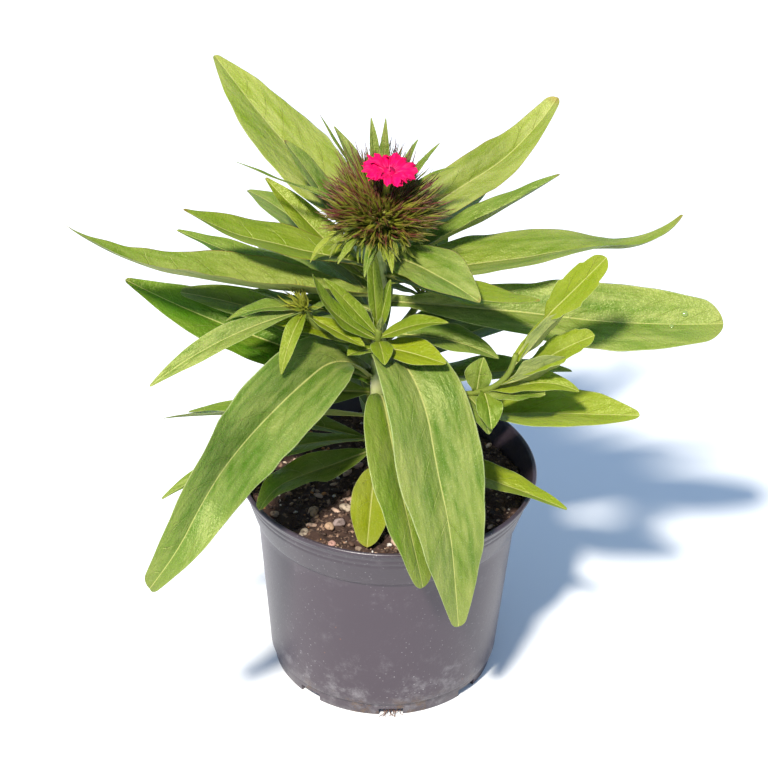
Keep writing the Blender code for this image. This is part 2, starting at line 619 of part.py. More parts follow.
def make_head(collection, surface):
    """The flower head: a small core that the awl-shaped buds, the bracts and the calyx stand out of."""
    def build(shape):
        bmesh.ops.create_icosphere(shape, subdivisions=2, radius=MM)
        bmesh.ops.scale(shape, vec=(CORE_RADIUS, CORE_RADIUS, CORE_HALF_HEIGHT), verts=shape.verts)
        bmesh.ops.translate(shape, vec=Vector((STEM_X, 0, CORE_HEIGHT)) * MM, verts=shape.verts)

    head = put("flower_head", mesh_of("flower_head", build), collection, surface)
    repeats = repeats_collection()
    for start, end, radius in needle_rows():
        cone_between("awl", start, end, radius, 0.15, 3, repeats, surface)
    for row in HEAD_BRACTS:
        sheet_object("bract", blade(row, 5, 2), BLADE, repeats, surface)
    axis = bloom_axis()
    foot = Vector(HEAD_EYE) + Vector(axis) * 4
    top = Vector(BLOOM_CENTRE) - Vector(axis) * (BLOOM_TUBE + GAP)
    cone_between("calyx", foot, top, 1.6, 2.0, 8, repeats, surface)
    return fuse(head, repeats)


def make_bloom(collection, surface):
    """The open flower: five frilled petals fused on a short tube."""
    axis = Vector(bloom_axis())
    turn = axis.to_track_quat("Z", "Y").to_matrix().to_4x4()
    place = Matrix.Translation(Vector(BLOOM_CENTRE) * MM) @ turn
    centre = Vector(BLOOM_CENTRE)
    foot = centre - axis * BLOOM_TUBE
    base = cone_between("bloom", foot, centre + axis * 1.2, 1.1, 2.4, 8, collection, surface)
    base.data.transform(base.matrix_world)
    base.matrix_world = Matrix.Identity(4)
    repeats = repeats_collection()
    for k in range(BLOOM_PETALS):
        made = sheet_object("petal", petal(k, 3, 10), PETAL_BLADE, repeats, surface)
        made.data.transform(place)
    return fuse(base, repeats)


def main():
    for old in list(bpy.data.objects):
        bpy.data.objects.remove(old)
    plant = bpy.data.collections.new("potted_sweet_william")
    cutters = bpy.data.collections.new("cutters")
    bpy.context.scene.collection.children.link(plant)
    bpy.context.scene.collection.children.link(cutters)
    pot_plastic = material("pot_plastic", (0.07, 0.06, 0.075), 0.45)
    dark_soil = material("dark_soil", (0.035, 0.02, 0.012), 0.95)
    green_stem = material("green_stem", (0.32, 0.42, 0.14), 0.5)
    leaf_green = material("leaf_green", (0.16, 0.32, 0.03), 0.45)
    bud_brown = material("bud_brown", (0.2, 0.13, 0.06), 0.55)
    magenta = material("magenta_petal", (0.8, 0.01, 0.16), 0.5)
    make_pot(plant, pot_plastic, cutters)
    make_soil(plant, dark_soil, cutters)
    make_stem(plant, green_stem)
    make_leaves(plant, leaf_green)
    for name in STALKS:
        make_shoot(name, plant, leaf_green)
    make_head(plant, bud_brown)
    make_bloom(plant, magenta)


main()
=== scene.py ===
"""Dresses a potted sweet william: the pot, soil, leaves, buds and petals get their fine surfaces.

Sizes in the tables are millimetres and angles are degrees; a compass angle is counted from +X towards +Y.
"""
import math

import bpy
import numpy as np
from bpy.props import FloatProperty, FloatVectorProperty, IntProperty, PointerProperty
from mathutils import Matrix, Vector


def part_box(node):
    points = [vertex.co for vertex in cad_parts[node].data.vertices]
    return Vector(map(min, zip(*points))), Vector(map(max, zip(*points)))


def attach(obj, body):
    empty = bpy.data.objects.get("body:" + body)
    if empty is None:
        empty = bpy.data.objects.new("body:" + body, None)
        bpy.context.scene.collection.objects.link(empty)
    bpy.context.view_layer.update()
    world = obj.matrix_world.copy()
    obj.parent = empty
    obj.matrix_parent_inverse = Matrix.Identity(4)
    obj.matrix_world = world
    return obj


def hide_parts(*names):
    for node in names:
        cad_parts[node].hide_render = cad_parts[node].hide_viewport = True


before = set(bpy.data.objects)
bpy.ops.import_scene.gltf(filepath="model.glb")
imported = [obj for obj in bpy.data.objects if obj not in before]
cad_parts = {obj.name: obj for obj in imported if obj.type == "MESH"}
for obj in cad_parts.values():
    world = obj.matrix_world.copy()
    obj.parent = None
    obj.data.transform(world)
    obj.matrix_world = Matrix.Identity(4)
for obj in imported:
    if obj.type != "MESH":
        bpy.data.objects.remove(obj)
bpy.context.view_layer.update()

bl_info = {
    "name": "Potted Sweet William",
    "version": (1, 0, 0),
    "blender": (4, 5, 0),
    "location": "3D View > Sidebar > Sweet William",
    "description": "Builds the pot, soil, stem, leaves, shoots, flower head and bloom of a sweet william",
    "category": "Add Mesh",
}

BODY = "root"
MM = 0.001
SEED = 7

# Sizes that the solids have too; those of the pot's outside come from its box
POT_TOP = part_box("pot")[1]
RIM_RADIUS = POT_TOP.x / MM
POT_HEIGHT = POT_TOP.z / MM
BAND_HEIGHT = 19.8
BAND_FOOT_RADIUS = 53.4
WALL_TOP_RADIUS = 52.4
LEDGE_HEIGHT = 6.8
LEDGE_RADIUS = 47.3
FOOT_RADIUS = 45.6
NOTCHES = 8
FIRST_NOTCH = -85.0
NOTCH_WIDTH = 10.0
NOTCH_HEIGHT = 3.2
NOTCH_INNER_RADIUS = 40.5
BAND_GROOVES = (15.2, 12.2)
HOLLOW_HEIGHT = 1.5
HOLLOW_INNER_RADIUS = 31.0
MIDDLE_RADIUS = 28.0
POT_WALL = 1.2
POT_FLOOR = 2.7
SOIL_LEVEL = 82.0
SOIL_SIDES = (78.0, 60.0, 30.0, 8.0, 4.2)
STEM_X = -5.0
STEM_FOOT = 70.0
STEM_TOP = 198.7
STEM_RADIUS = 2.2
JOINT_SWELLING = 0.75
JOINT_REACH = 1.8
LEAF_ROOT = 3.0
HEAD_EYE = (STEM_X, 0.0, 203.0)
HEAD_REACH = 29.5
CORE_MIDDLE = 206.0
CORE_RADIUS = 10.0
CORE_HALF_HEIGHT = 7.2
NEEDLES = 134
NEEDLE_ROOT = 6.0
NEEDLE_SPREAD = 1.12
NEEDLE_CLEARANCE = 2.3
NEEDLE_TILTS = 9
NEEDLE_TILT = 7.0
BLOOM_CONE = 34.0
BLOOM_CLEARANCE = 19.0
BLOOM_CENTRE = (-2.5, -6.0, 227.0)
BLOOM_PETALS = 5
BLOOM_TUBE = 3.4
PETAL_HALF_ANGLE = 54.0
PETAL_FOOT = 1.0
PETAL_REACH = 11.0

# How finely the pieces are cut, how their relief stands out, and how many small ones there are
MIDRIB_STEPS = 240
TIP_CROWDING = 0.35
RIB_HEIGHT = 0.95
GROOVE_DEPTH = 0.45
SLIMMEST_HALF = 0.12
SOIL_RINGS = 66
SOIL_SECTORS = 300
LONG_CHIPS = 46
DROP_STEPS = 80
TUFT_AWLS = 60
FILLING_AWLS = 500
BACK_AWLS = 220
BLOOM_AWLS = 110
STRAPS = 90
RING_STRAPS = 46
ROOTS_IN_NOTCH = {0: 9, 4: 6}

# How many of the crumbs are dark soil, brown, dry fibre, wood, husk, rusty bark and grit
CRUMB_SHARES = (0.44, 0.24, 0.08, 0.08, 0.07, 0.04, 0.05)

# Where each piece's noise starts, the step to the next piece's, and what mixes the lattice's places
LEAF_SEED = 50
LEAF_SEED_STEP = 3
SHOOT_SEED = 400
BRACT_SEED = 600
STRAP_SEED = 700
SMALL_SEED_STEP = 5
LATTICE_KEYS = (73856093, 19349663, 83492791)
LATTICE_NUMBERS = 4096

# Colours that the settings leave out
HAIR_AND_GLINT_SPECK = (0.42, 0.47, 0.24)
WORN_BROWN = (0.09, 0.03, 0.02)
WORN_ORANGE = (0.28, 0.11, 0.02)
PALE_MARGIN = (0.40, 0.46, 0.20)
STEM_GREEN = (0.30, 0.38, 0.09)
STEM_PALE = (0.42, 0.42, 0.20)
AWL_FOOT_GREEN = (0.15, 0.27, 0.02)
AWL_FOOT_YELLOW = (0.34, 0.34, 0.04)
AWL_FOOT_PAINTED_SHADE = (0.012, 0.018, 0.003)
PETAL_LIGHT = (0.88, 0.0, 0.10)
PETAL_THROAT = (0.45, 0.0, 0.05)
PETAL_RAY = (0.95, 0.14, 0.34)
BAND_PAINTED_SHADE = (0.012, 0.010, 0.013)
DUST_SPECK = (0.45, 0.43, 0.42)
DUST_FILM = (0.36, 0.34, 0.34)
RUST = (0.30, 0.12, 0.04)
SPLASHED_SOIL = (0.11, 0.06, 0.03)
CHIP_STAIN = (0.06, 0.035, 0.022)
CHIP = (0.55, 0.37, 0.27)
ROOT = (0.17, 0.075, 0.04)
CRUMB_BROWN = (0.09, 0.045, 0.028)
CRUMB_WOOD = (0.26, 0.16, 0.10)
CRUMB_HUSK = (0.50, 0.38, 0.28)
CRUMB_BARK = (0.42, 0.18, 0.06)
CRUMB_GRIT = (0.62, 0.56, 0.50)
WET_LEAF = (0.20, 0.27, 0.06)
FLOOR_TINTS = ((0.86, 0.86, 0.86), (0.88, 0.88, 0.88))


# The plant's own tables


def leaf(name, height, compass, length, width, rise, swing=(0, 0), roll=(0, 0), fold=18, wave=0.6,
         waves=2.5, widest=0.5, point=0.9, neck=0.2, petiole=0, teeth=0, stem=(STEM_X, 0), off=LEAF_ROOT,
         yellow=0.4, frost=0.5, brown=0.0):
    """One leaf. height and compass say where it leaves its stem, off how far from the stem's axis, and
    stem where that axis stands.

    rise is the midrib's angle above the level at even steps along it, swing its turn sideways, roll the
    blade's turn about it and fold the angle of its V. widest is where the blade is broadest, point how
    slender its ends are, petiole the share of its length that is a bare stalk, neck the share of its
    width left at the foot, and teeth how many its margin has. wave is how far its margins wave and waves
    how often. yellow, frost and brown say how far its colour goes that way, and the pale frost is partly
    painted sheen.
    """
    return dict(name=name, height=height, compass=compass, length=length, width=width, rise=rise,
                swing=swing, roll=roll, fold=fold, wave=wave, waves=waves, widest=widest, point=point,
                neck=neck, petiole=petiole, teeth=teeth, stem=stem, off=off, tone=(yellow, frost, brown))


LEAVES = [
    leaf("leaf_back_left_pale", 191, 134, 105, 32, (30, 22, 27, 31), fold=12, widest=0.48, yellow=0.8,
         frost=0.9, brown=0.1),
    leaf("leaf_back_right", 193, 45, 100, 20, (20, 6, 42), roll=(-20, -30, 0), fold=22, widest=0.46,
         point=0.6, yellow=0.8, frost=1.0, brown=0.5),
    leaf("leaf_behind_head_left", 193, 153, 52, 13, (22, 48, 46), widest=0.6, neck=0.15, yellow=0.3,
         frost=0.8, brown=0.6),
    leaf("leaf_upright_left", 176, 150, 58, 13, (26, 34, 36), roll=(20, 20), yellow=0.75, frost=0.35,
         brown=0.2),
    leaf("leaf_upper_left", 184, 181, 75, 21, (16, 12, 32), roll=(8, 0), yellow=0.65, frost=0.3, brown=0.7),
    leaf("leaf_long_left", 172, 187, 122, 26, (6, 8, 18, 44), fold=40, point=1.3, widest=0.4, yellow=0.5,
         frost=0.65, brown=0.6),
    leaf("leaf_left_hidden", 164, 160, 84, 16, (12, 12, 12), yellow=0.3, frost=0.4),
    leaf("leaf_mid_left", 133, 172, 103, 25, (18, 17, 26), roll=(35, 30), yellow=0.15, frost=0.15,
         brown=0.3),
    leaf("leaf_front_left_big", 136, 199, 145, 33, (53, -2, -22, -4, -48, -58), roll=(10, 37, 47, 42),
         swing=(0, 38, 29, 50, 34, -17), fold=26, petiole=0.1, widest=0.3, point=0.65, neck=0.22, wave=1.3,
         waves=3, off=3.2, yellow=0.0, frost=0.65, brown=0.1),
    leaf("leaf_front_left_inner", 127.5, 188, 50, 17, (6, 4, 0), roll=(30, 30), yellow=0.45),
    leaf("leaf_left_edge_on", 117, 193, 82, 14, (10, 6, 0), roll=(-33, -33), yellow=0.3, frost=0.8),
    leaf("leaf_left_low", 106, 201, 88, 15, (10, -4, -30)),
    leaf("leaf_soil_left", 100, 205, 59, 15, (-10, 2, 10, -24), swing=(0, 18, 40), roll=(40, 15, -9),
         point=0.7, wave=1.2, yellow=0.45),
    leaf("leaf_front_big", 146, -63, 130, 36, (46, -16, -66, -58, -76, -78), roll=(7, -8, -4), fold=14,
         widest=0.41, point=0.79, yellow=0.25, frost=0.8),
    leaf("leaf_front_second", 124, -83, 96, 25, (74, -21, -39, -55, -70), swing=(0, 8, 30),
         roll=(5, 12, 12), fold=10, petiole=0.12, widest=0.46, point=0.65, yellow=0.45),
    leaf("leaf_soil_yellow", 93, -93, 42, 17, (-4, -14, -18), point=0.6, yellow=1, frost=0.4, brown=0.2),
    leaf("leaf_right_folded", 185, 18, 74, 16, (18, 22, 30), fold=35, roll=(10, 10), yellow=0.3,
         frost=0.4, brown=0.5),
    leaf("leaf_long_right", 177.5, 6, 118, 28, (19, 6, 9, -2, 60), roll=(-20, -6, 0, 21, -2), widest=0.41,
         yellow=0.6, frost=0.65, brown=0.4),
    leaf("leaf_big_right", 169, -2, 129, 30, (-1, -5, 5), roll=(-30, -34, -29), widest=0.65, point=0.54,
         yellow=0.35, frost=0.75, brown=0.1),
    leaf("leaf_front_right_upper", 191, -46, 50, 22, (12, 0, -8), roll=(-20, -10), frost=0.75, brown=0.5),
    leaf("leaf_front_right_lower", 182, -33, 68, 17, (2, 5, 26), yellow=0.7, frost=0.35, brown=0.6),
    leaf("leaf_low_right", 113, -17, 105, 28, (23, 13, 10), roll=(-12, 5, -28), widest=0.56, yellow=0.85,
         frost=0.4),
    leaf("leaf_rim_right", 98, -20, 78, 17, (6, -4, -14), yellow=0.85, frost=0.2),
    leaf("leaf_back_high", 182, 98, 80, 22, (12, 6, -8), yellow=0.5, frost=0.6, brown=0.1),
    leaf("leaf_back_high_right", 174, 62, 102, 24, (16, 6, -10), yellow=0.5, frost=0.6, brown=0.2),
    leaf("leaf_back_mid_left", 150, 124, 94, 24, (12, 2, -18)),
    leaf("leaf_back_mid", 141, 98, 112, 27, (18, 0, -30), yellow=0.45),
    leaf("leaf_back_mid_right", 137, 28, 108, 24, (14, 4, -10), yellow=0.25, frost=0.4),
    leaf("leaf_back_low_left", 130, 140, 94, 22, (12, 4, -20), frost=0.4),
    leaf("leaf_back_low", 114, 106, 92, 20, (12, 0, -30), yellow=0.5, frost=0.4),
    leaf("leaf_back_low_right", 118, 66, 96, 22, (14, 2, -24)),
    leaf("leaf_back_rim", 101, 90, 74, 17, (6, -4, -20), yellow=0.7, frost=0.3),
    leaf("leaf_right_rim_back", 104, 28, 80, 18, (8, 0, -18), frost=0.4),
    leaf("leaf_left_rim_back", 104, 164, 78, 16, (8, 0, -18), frost=0.4),
    leaf("leaf_right_mid", 128, 10, 76, 18, (10, 4, -10), yellow=0.3),
    leaf("leaf_right_inner", 155, -17, 46, 15, (10, 2, -24), roll=(-10, -10), yellow=0.3),
    leaf("leaf_right_drooping", 118.5, -46, 54, 16, (10, -4, -40), petiole=0.2, yellow=0.3, frost=0.6),
    leaf("leaf_right_crossing", 152.5, 16, 64, 20, (12, 8, -6), yellow=0.2, frost=0.3),
    leaf("leaf_left_round", 146, 160, 78, 18, (16, 12, 10), swing=(0, 22), roll=(20, 20), point=0.7,
         yellow=0.3),
    leaf("leaf_left_inner", 157, 171, 48, 14, (18, 8, -12), yellow=0.3, frost=0.4),
    leaf("leaf_back_upper_left", 168, 128, 88, 20, (18, 8, -8), yellow=0.5, frost=0.6, brown=0.1),
    leaf("leaf_low_front_right", 104, -44, 58, 15, (20, 4, -30), yellow=0.3, frost=0.6),
]

STALKS = {
    "front_shoot": dict(start=(STEM_X, -3.2, 152), end=(STEM_X, -14, 165), radius=1.5, bend=1.0),
    "left_shoot": dict(start=(-8.1, -0.8, 152), end=(-33.5, -9, 171), radius=1.6, bend=0.75),
    "back_shoot": dict(start=(-3.2, 2.7, 149), end=(12, 26, 158), radius=1.6, bend=0.75),
    "right_shoot": dict(start=(-2.2, -1.5, 134), end=(46.2, -33, 167), radius=1.2, bend=0.9),
}


def stalk_point(name, at):
    """A point of a side stalk, at 0 to 1: it leaves the stem level, away from its axis, and bends up."""
    first = np.array(STALKS[name]["start"], float)
    last = np.array(STALKS[name]["end"], float)
    away = np.array([first[0] - STEM_X, first[1], 0.0])
    away = away / np.linalg.norm(away) * np.linalg.norm((last - first)[:2])
    middle = first + away * STALKS[name]["bend"]
    return first * (1 - at) ** 2 + middle * 2 * at * (1 - at) + last * at ** 2


def small_leaf(stalk, at, compass, length, width, rise, **more):
    """A leaf of a side shoot, rooted inside its stalk."""
    x, y, height = stalk_point(stalk, at)
    return leaf("small_leaf", height, compass, length, width, rise, stem=(x, y), off=0.4, wave=0.3, **more)


def toothed_leaf(at, compass, length, width, rise, teeth, **more):
    """A leaf of the right shoot, rooted inside its stalk, its margin whole or cut into teeth."""
    x, y, height = stalk_point("right_shoot", at)
    return leaf("toothed_leaf", height, compass, length, width, rise, stem=(x, y), off=0.3,
                teeth=teeth, neck=0.3, **more)


SHOOT_LEAVES = {
    "front_shoot": [
        small_leaf("front_shoot", 0.92, 120, 36, 7, (76, 80, 88), yellow=0.6, frost=0.2),
        small_leaf("front_shoot", 0.78, 192, 41, 9, (30, 48, 78), roll=(40, 20), yellow=0.6, frost=0.2),
        small_leaf("front_shoot", 0.88, 165, 30, 7, (44, 46, 40), roll=(40, 30), yellow=0.6, frost=0.2),
        small_leaf("front_shoot", 0.92, 60, 21, 6, (72, 68, 64), yellow=0.6, frost=0.2),
        small_leaf("front_shoot", 0.83, -18, 30, 9, (34, 28, 8), roll=(-30, -10), yellow=0.7, frost=0.2),
        small_leaf("front_shoot", 0.73, -80, 16, 9, (26, -4, -30), yellow=0.7, frost=0.2),
        small_leaf("front_shoot", 0.55, -32, 30, 14, (10, 6, 0), roll=(-20, -20), yellow=0.95, frost=0.15),
        small_leaf("front_shoot", 0.48, -150, 13, 11, (10, 0, -10), yellow=0.6, frost=0.2),
        small_leaf("front_shoot", 0.96, -70, 9, 3, (60, 70, 80), yellow=0.7, frost=0.1),
        small_leaf("front_shoot", 0.96, 170, 10, 3, (66, 74, 80), yellow=0.7, frost=0.1),
    ],
    "left_shoot": [
        small_leaf("left_shoot", 0.18, 200, 36, 10, (28, 26, 12), roll=(20, 20), point=0.7, yellow=0.9,
                   frost=0.1),
        small_leaf("left_shoot", 0.95, 209, 67, 10, (2, -14, -30), roll=(10, 40), yellow=0.35, frost=0.85),
        small_leaf("left_shoot", 0.92, -110, 30, 7, (14, -34, -62), yellow=0.75, frost=0.3),
        small_leaf("left_shoot", 0.92, 196, 32, 8, (30, 0, -25)),
        small_leaf("left_shoot", 0.92, 40, 14, 4, (10, 0, -10), frost=0.4),
        small_leaf("left_shoot", 0.89, 100, 12, 5, (0, -10, -20), yellow=0.5, frost=0.3),
        small_leaf("left_shoot", 0.86, -30, 25, 10, (-14, -12, -8), yellow=0.85, frost=0.15),
        small_leaf("left_shoot", 0.89, 165, 24, 7, (30, 16, 0)),
    ],
    "back_shoot": [
        small_leaf("back_shoot", 0.94, turn, length, width, (34, 20, 4), yellow=0.5, frost=0.4)
        for turn, length, width in ((20, 36, 9), (75, 40, 10), (130, 32, 8), (200, 26, 7), (280, 22, 6),
                                    (330, 30, 8))
    ],
    "right_shoot": [
        toothed_leaf(0.96, -4, 55, 13, (68, 52, 54), 6, roll=(-60, -60), petiole=0.38, widest=0.5,
                     point=0.6, yellow=0.85, frost=0.25),
        toothed_leaf(0.92, -12, 31, 8, (55, 60, 44), 0, roll=(60, 60), widest=0.6, frost=0.7),
        toothed_leaf(0.74, -9, 41, 12, (32, 42, 30), 6, roll=(-30, -40), petiole=0.1, widest=0.62,
                     point=0.6, yellow=0.8, frost=0.3),
        toothed_leaf(0.72, -20, 30, 13, (20, 42, 36), 0, roll=(60, 50), widest=0.6, yellow=0.5, frost=0.7),
        toothed_leaf(0.60, -16, 36, 11, (20, 20, -20), 0, roll=(-20, -20), yellow=0.8, frost=0.3),
        toothed_leaf(0.58, -28, 25, 9, (6, 20, 10), 0, roll=(-30, -20), point=0.6, yellow=0.5, frost=0.7),
        toothed_leaf(0.56, -78, 17, 11, (0, -30, -60), 0, yellow=0.5, frost=0.3),
        toothed_leaf(0.50, 40, 15, 11, (84, 82, 70), 0, roll=(-30, -30)),
        toothed_leaf(0.42, -60, 21, 12, (10, -20, -60), 0, frost=0.6),
    ],
}

HEAD_BRACTS = [
    leaf("bract", 206, 112, 36, 4.8, (80, 74, 70), off=3, wave=0.2, frost=0.8),
    leaf("bract", 206, 84, 37, 4.2, (84, 82, 86), off=3, wave=0.2, frost=0.8),
    leaf("bract", 206, 26, 33, 4.2, (62, 52, 40), off=3, wave=0.2, brown=0.5),
    leaf("bract", 205, 14, 32, 3.4, (52, 42, 10), off=3, wave=0.2),
    leaf("bract", 206, 145, 36, 8, (66, 56, 50), off=3, wave=0.2, frost=0.9),
    leaf("bract", 206, 150, 42, 2.4, (60, 54, 50), off=3, wave=0.2, brown=1.0),
    leaf("bract", 204, 175, 56, 3.2, (28, 18, 22), off=3, wave=0.4),
    leaf("bract", 206, -20, 26, 3, (48, 44, 40), off=3, wave=0.2),
    leaf("bract", 205, 60, 32, 4, (50, 46, 30), off=3, wave=0.2),
    leaf("bract", 203, 205, 30, 5, (10, -22, -60), off=3, wave=0.3, yellow=1.0),
    leaf("bract", 202, -102, 26, 4, (6, -14, -50), off=3, wave=0.3),
    leaf("bract", 202, -80, 25, 4, (6, -10, -40), off=3, wave=0.3, yellow=0.9),
    leaf("bract", 203, -124, 26, 4, (8, -8, -40), off=3, wave=0.3, yellow=0.7),
]

# Pebbles and chips that lie on the soil: x, y, radius, colour
PEBBLES = [
    (-29.0, -18.4, 2.6, (0.45, 0.28, 0.16)),
    (-16.2, -15.8, 2.0, (0.42, 0.33, 0.24)),
    (-12.5, -8.5, 1.8, (0.50, 0.22, 0.07)),
    (-18.9, -26.7, 2.3, (0.30, 0.22, 0.20)),
    (-22.5, -29.5, 1.9, (0.42, 0.27, 0.17)),
    (-32.2, -33.8, 2.0, (0.38, 0.30, 0.22)),
    (-21.0, -40.5, 1.7, (0.46, 0.25, 0.20)),
    (-10.8, -42.6, 1.6, (0.34, 0.24, 0.17)),
    (-44.2, -22.4, 1.8, (0.36, 0.25, 0.17)),
    (-12.0, 12.0, 1.7, (0.45, 0.27, 0.22)),
    (24.0, -34.0, 2.2, (0.40, 0.29, 0.20)),
    (32.0, 18.0, 2.4, (0.42, 0.28, 0.18)),
    (8.0, 38.0, 2.1, (0.36, 0.26, 0.19)),
    (-30.0, 30.0, 2.3, (0.44, 0.25, 0.12)),
]

# Drops on the big right leaf: share along it, share across, radius
DROPS = [(0.755, 0.1, 1.0), (0.80, -0.35, 1.2)]


# Settings that a user would change


def colour_setting(name, description, default):
    """A colour, with its parts from 0 to 1."""
    return FloatVectorProperty(name=name, description=description, subtype="COLOR", default=default,
                               min=0, max=1)


class PotSettings(bpy.types.PropertyGroup):
    """The pot's plastic and what clings to it."""

    plastic: colour_setting("Plastic", "Colour of the pot's plastic", (0.045, 0.031, 0.040))
    dust: FloatProperty(name="Dust", description="How much pale dust lies on the wall", default=0.5,
                        min=0, max=1, subtype="FACTOR")
    sectors: IntProperty(name="Sectors", description="Steps round the pot", default=288, min=48, max=720)


class SoilSettings(bpy.types.PropertyGroup):
    """The potting soil and its crumbs."""

    dark: colour_setting("Dark soil", "Colour of the damp soil", (0.040, 0.018, 0.011))
    light: colour_setting("Light soil", "Colour of the dry fibres", (0.34, 0.21, 0.14))
    crumbs: IntProperty(name="Crumbs", description="Number of loose crumbs", default=1500, min=0, max=4000)


class LeafSettings(bpy.types.PropertyGroup):
    """The blades' fine grid and their greens."""

    spacing: FloatProperty(name="Spacing", description="Length of a step along a blade, in millimetres",
                           default=1.6, min=0.5, max=6)
    columns: IntProperty(name="Columns", description="Steps across a blade", default=22, min=4, max=60)
    thickness: FloatProperty(name="Thickness", description="Thickness of a blade, in millimetres",
                             default=0.55, min=0.1, max=2)
    vein_gap: FloatProperty(name="Vein gap", description="Distance between side veins, in millimetres",
                            default=13.0, min=3, max=40)
    green: colour_setting("Green", "Colour of the deep green patches", (0.040, 0.106, 0.001))
    yellow: colour_setting("Yellow green", "Colour of the light patches", (0.190, 0.226, 0.001))
    # The pale frost colour is partly the leaf's bloom and partly painted sheen
    frost: colour_setting("Frost", "Colour of the pale clouds", (0.310, 0.320, 0.100))
    under: colour_setting("Underside", "Colour of the underside", (0.100, 0.145, 0.030))
    rib: colour_setting("Rib", "Colour of the midrib", (0.380, 0.380, 0.120))


class FlowerSettings(bpy.types.PropertyGroup):
    """The flower head and its open bloom."""

    petal: colour_setting("Petal", "Colour of the petals", (0.80, 0.0, 0.105))
    awls: IntProperty(name="Awls a bud", description="Fine awls round each bud", default=9, min=1, max=14)
    tip: colour_setting("Awl tip", "Colour of the awls' tips", (0.110, 0.024, 0.014))
    body: colour_setting("Awl body", "Colour of the awls' bodies", (0.240, 0.250, 0.020))


class StageSettings(bpy.types.PropertyGroup):
    """Floor, lights and camera."""

    key_power: FloatProperty(name="Key light", description="Power of the key light, in watts",
                             default=295, min=0, max=2000)
    key_size: FloatProperty(name="Key size", description="Width of the key light", default=0.4,
                            min=0.01, max=3, unit="LENGTH")
    sky_strength: FloatProperty(name="Sky", description="Strength of the even light", default=0.68,
                                min=0, max=5)
    sky: colour_setting("Sky colour", "Colour of the even light", (0.45, 0.66, 1.0))


class SweetWilliamSettings(bpy.types.PropertyGroup):
    """All settings of the plant."""

    pot: PointerProperty(type=PotSettings)
    soil: PointerProperty(type=SoilSettings)
    leaves: PointerProperty(type=LeafSettings)
    flower: PointerProperty(type=FlowerSettings)
    stage: PointerProperty(type=StageSettings)


def settings():
    """The settings on the current scene."""
    return bpy.context.scene.sweet_william


# Shapes as arrays of points


def unit(vectors):
    """Vectors scaled to length one."""
    return vectors / np.linalg.norm(vectors, axis=-1, keepdims=True)


def smooth_noise(points, size, seed):
    """Noise from -1 to 1: random numbers on a lattice of that size in millimetres, blended smoothly."""
    numbers = np.random.default_rng(seed).uniform(-1, 1, LATTICE_NUMBERS)
    cell = np.floor(points / size).astype(np.int64)
    part = points / size - cell
    part = part * part * (3 - 2 * part)
    total = np.zeros(points.shape[:-1])
    for corner in np.ndindex(2, 2, 2):
        at = cell + corner
        key = np.bitwise_xor.reduce(at * LATTICE_KEYS, axis=-1)
        weight = np.prod(np.where(np.array(corner) > 0, part, 1 - part), axis=-1)
        total += weight * numbers[key % LATTICE_NUMBERS]
    return total


class Shape:
    """Closed bodies gathered into one piece: points in millimetres, faces, and three numbers a point."""

    def __init__(self):
        self.points = []
        self.faces = []
        self.marks = {}
        self.count = 0

    def add(self, points, faces, **marks):
        """Adds a body. faces holds arrays of point numbers; a mark has a row for each point or for all."""
        flat = points.reshape(-1, 3)
        if enclosed(flat, faces) < 0:
            faces = [group[:, ::-1] for group in faces]
        self.points.append(flat)
        self.faces += [group + self.count for group in faces]
        for name, rows in marks.items():
            rows = np.broadcast_to(np.asarray(rows, float), points.shape).reshape(-1, 3)
            self.marks.setdefault(name, []).append(rows)
        self.count += len(flat)

    def piece(self, name, surface, nodes=(), sharp=None):
        """Makes the object, which rides on the body and stands for the nodes."""
        mesh = bpy.data.meshes.new(name)
        faces = [face for group in self.faces for face in group.tolist()]
        mesh.from_pydata((np.concatenate(self.points) * MM).tolist(), [], faces)
        for mark, rows in self.marks.items():
            attribute = mesh.attributes.new(mark, "FLOAT_VECTOR", "POINT")
            attribute.data.foreach_set("vector", np.concatenate(rows).astype(np.float32).ravel())
        mesh.shade_smooth()
        if sharp:
            mesh.set_sharp_from_angle(angle=math.radians(sharp))
        mesh.materials.append(surface)
        made = bpy.data.objects.new(name, mesh)
        bpy.context.scene.collection.objects.link(made)
        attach(made, BODY)
        if nodes:
            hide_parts(*nodes)


def enclosed(points, faces):
    """Six times the volume that faces enclose, below zero where they point inwards."""
    total = 0.0
    for group in faces:
        for k in range(1, group.shape[1] - 1):
            first, second, third = points[group[:, 0]], points[group[:, k]], points[group[:, k + 1]]
            total += np.sum(first * np.cross(second, third))
    return total


def grid_faces(rows, columns):
    """Squares between rows of points that close on themselves across the columns."""
    i = np.arange(rows - 1)[:, None] * columns
    j = np.arange(columns)[None, :]
    after = (j + 1) % columns
    return np.stack([i + j, i + after, i + after + columns, i + j + columns], -1).reshape(-1, 4)


def thin_body(upper, lower):
    """A thin closed body from two grids that meet at their margins, closed at both of its ends."""
    rows, columns = upper.shape[:2]
    columns -= 1
    ring = np.concatenate([upper, lower[:, -2:0:-1]], axis=1)
    around = 2 * columns
    j = np.arange(1, columns - 1)
    faces = [grid_faces(rows, around)]
    for start, turned in ((0, True), ((rows - 1) * around, False)):
        middle = np.stack([j, j + 1, around - j - 1, around - j], -1) + start
        ends = np.array([[0, 1, around - 1], [columns - 1, columns, columns + 1]]) + start
        for cap in (middle, ends):
            faces.append(cap[:, ::-1] if turned else cap)
    return ring, faces


def ring_rows(upper, lower):
    """Rows of numbers laid out as thin_body lays out its points."""
    return np.concatenate([upper, lower[:, -2:0:-1]], axis=1)


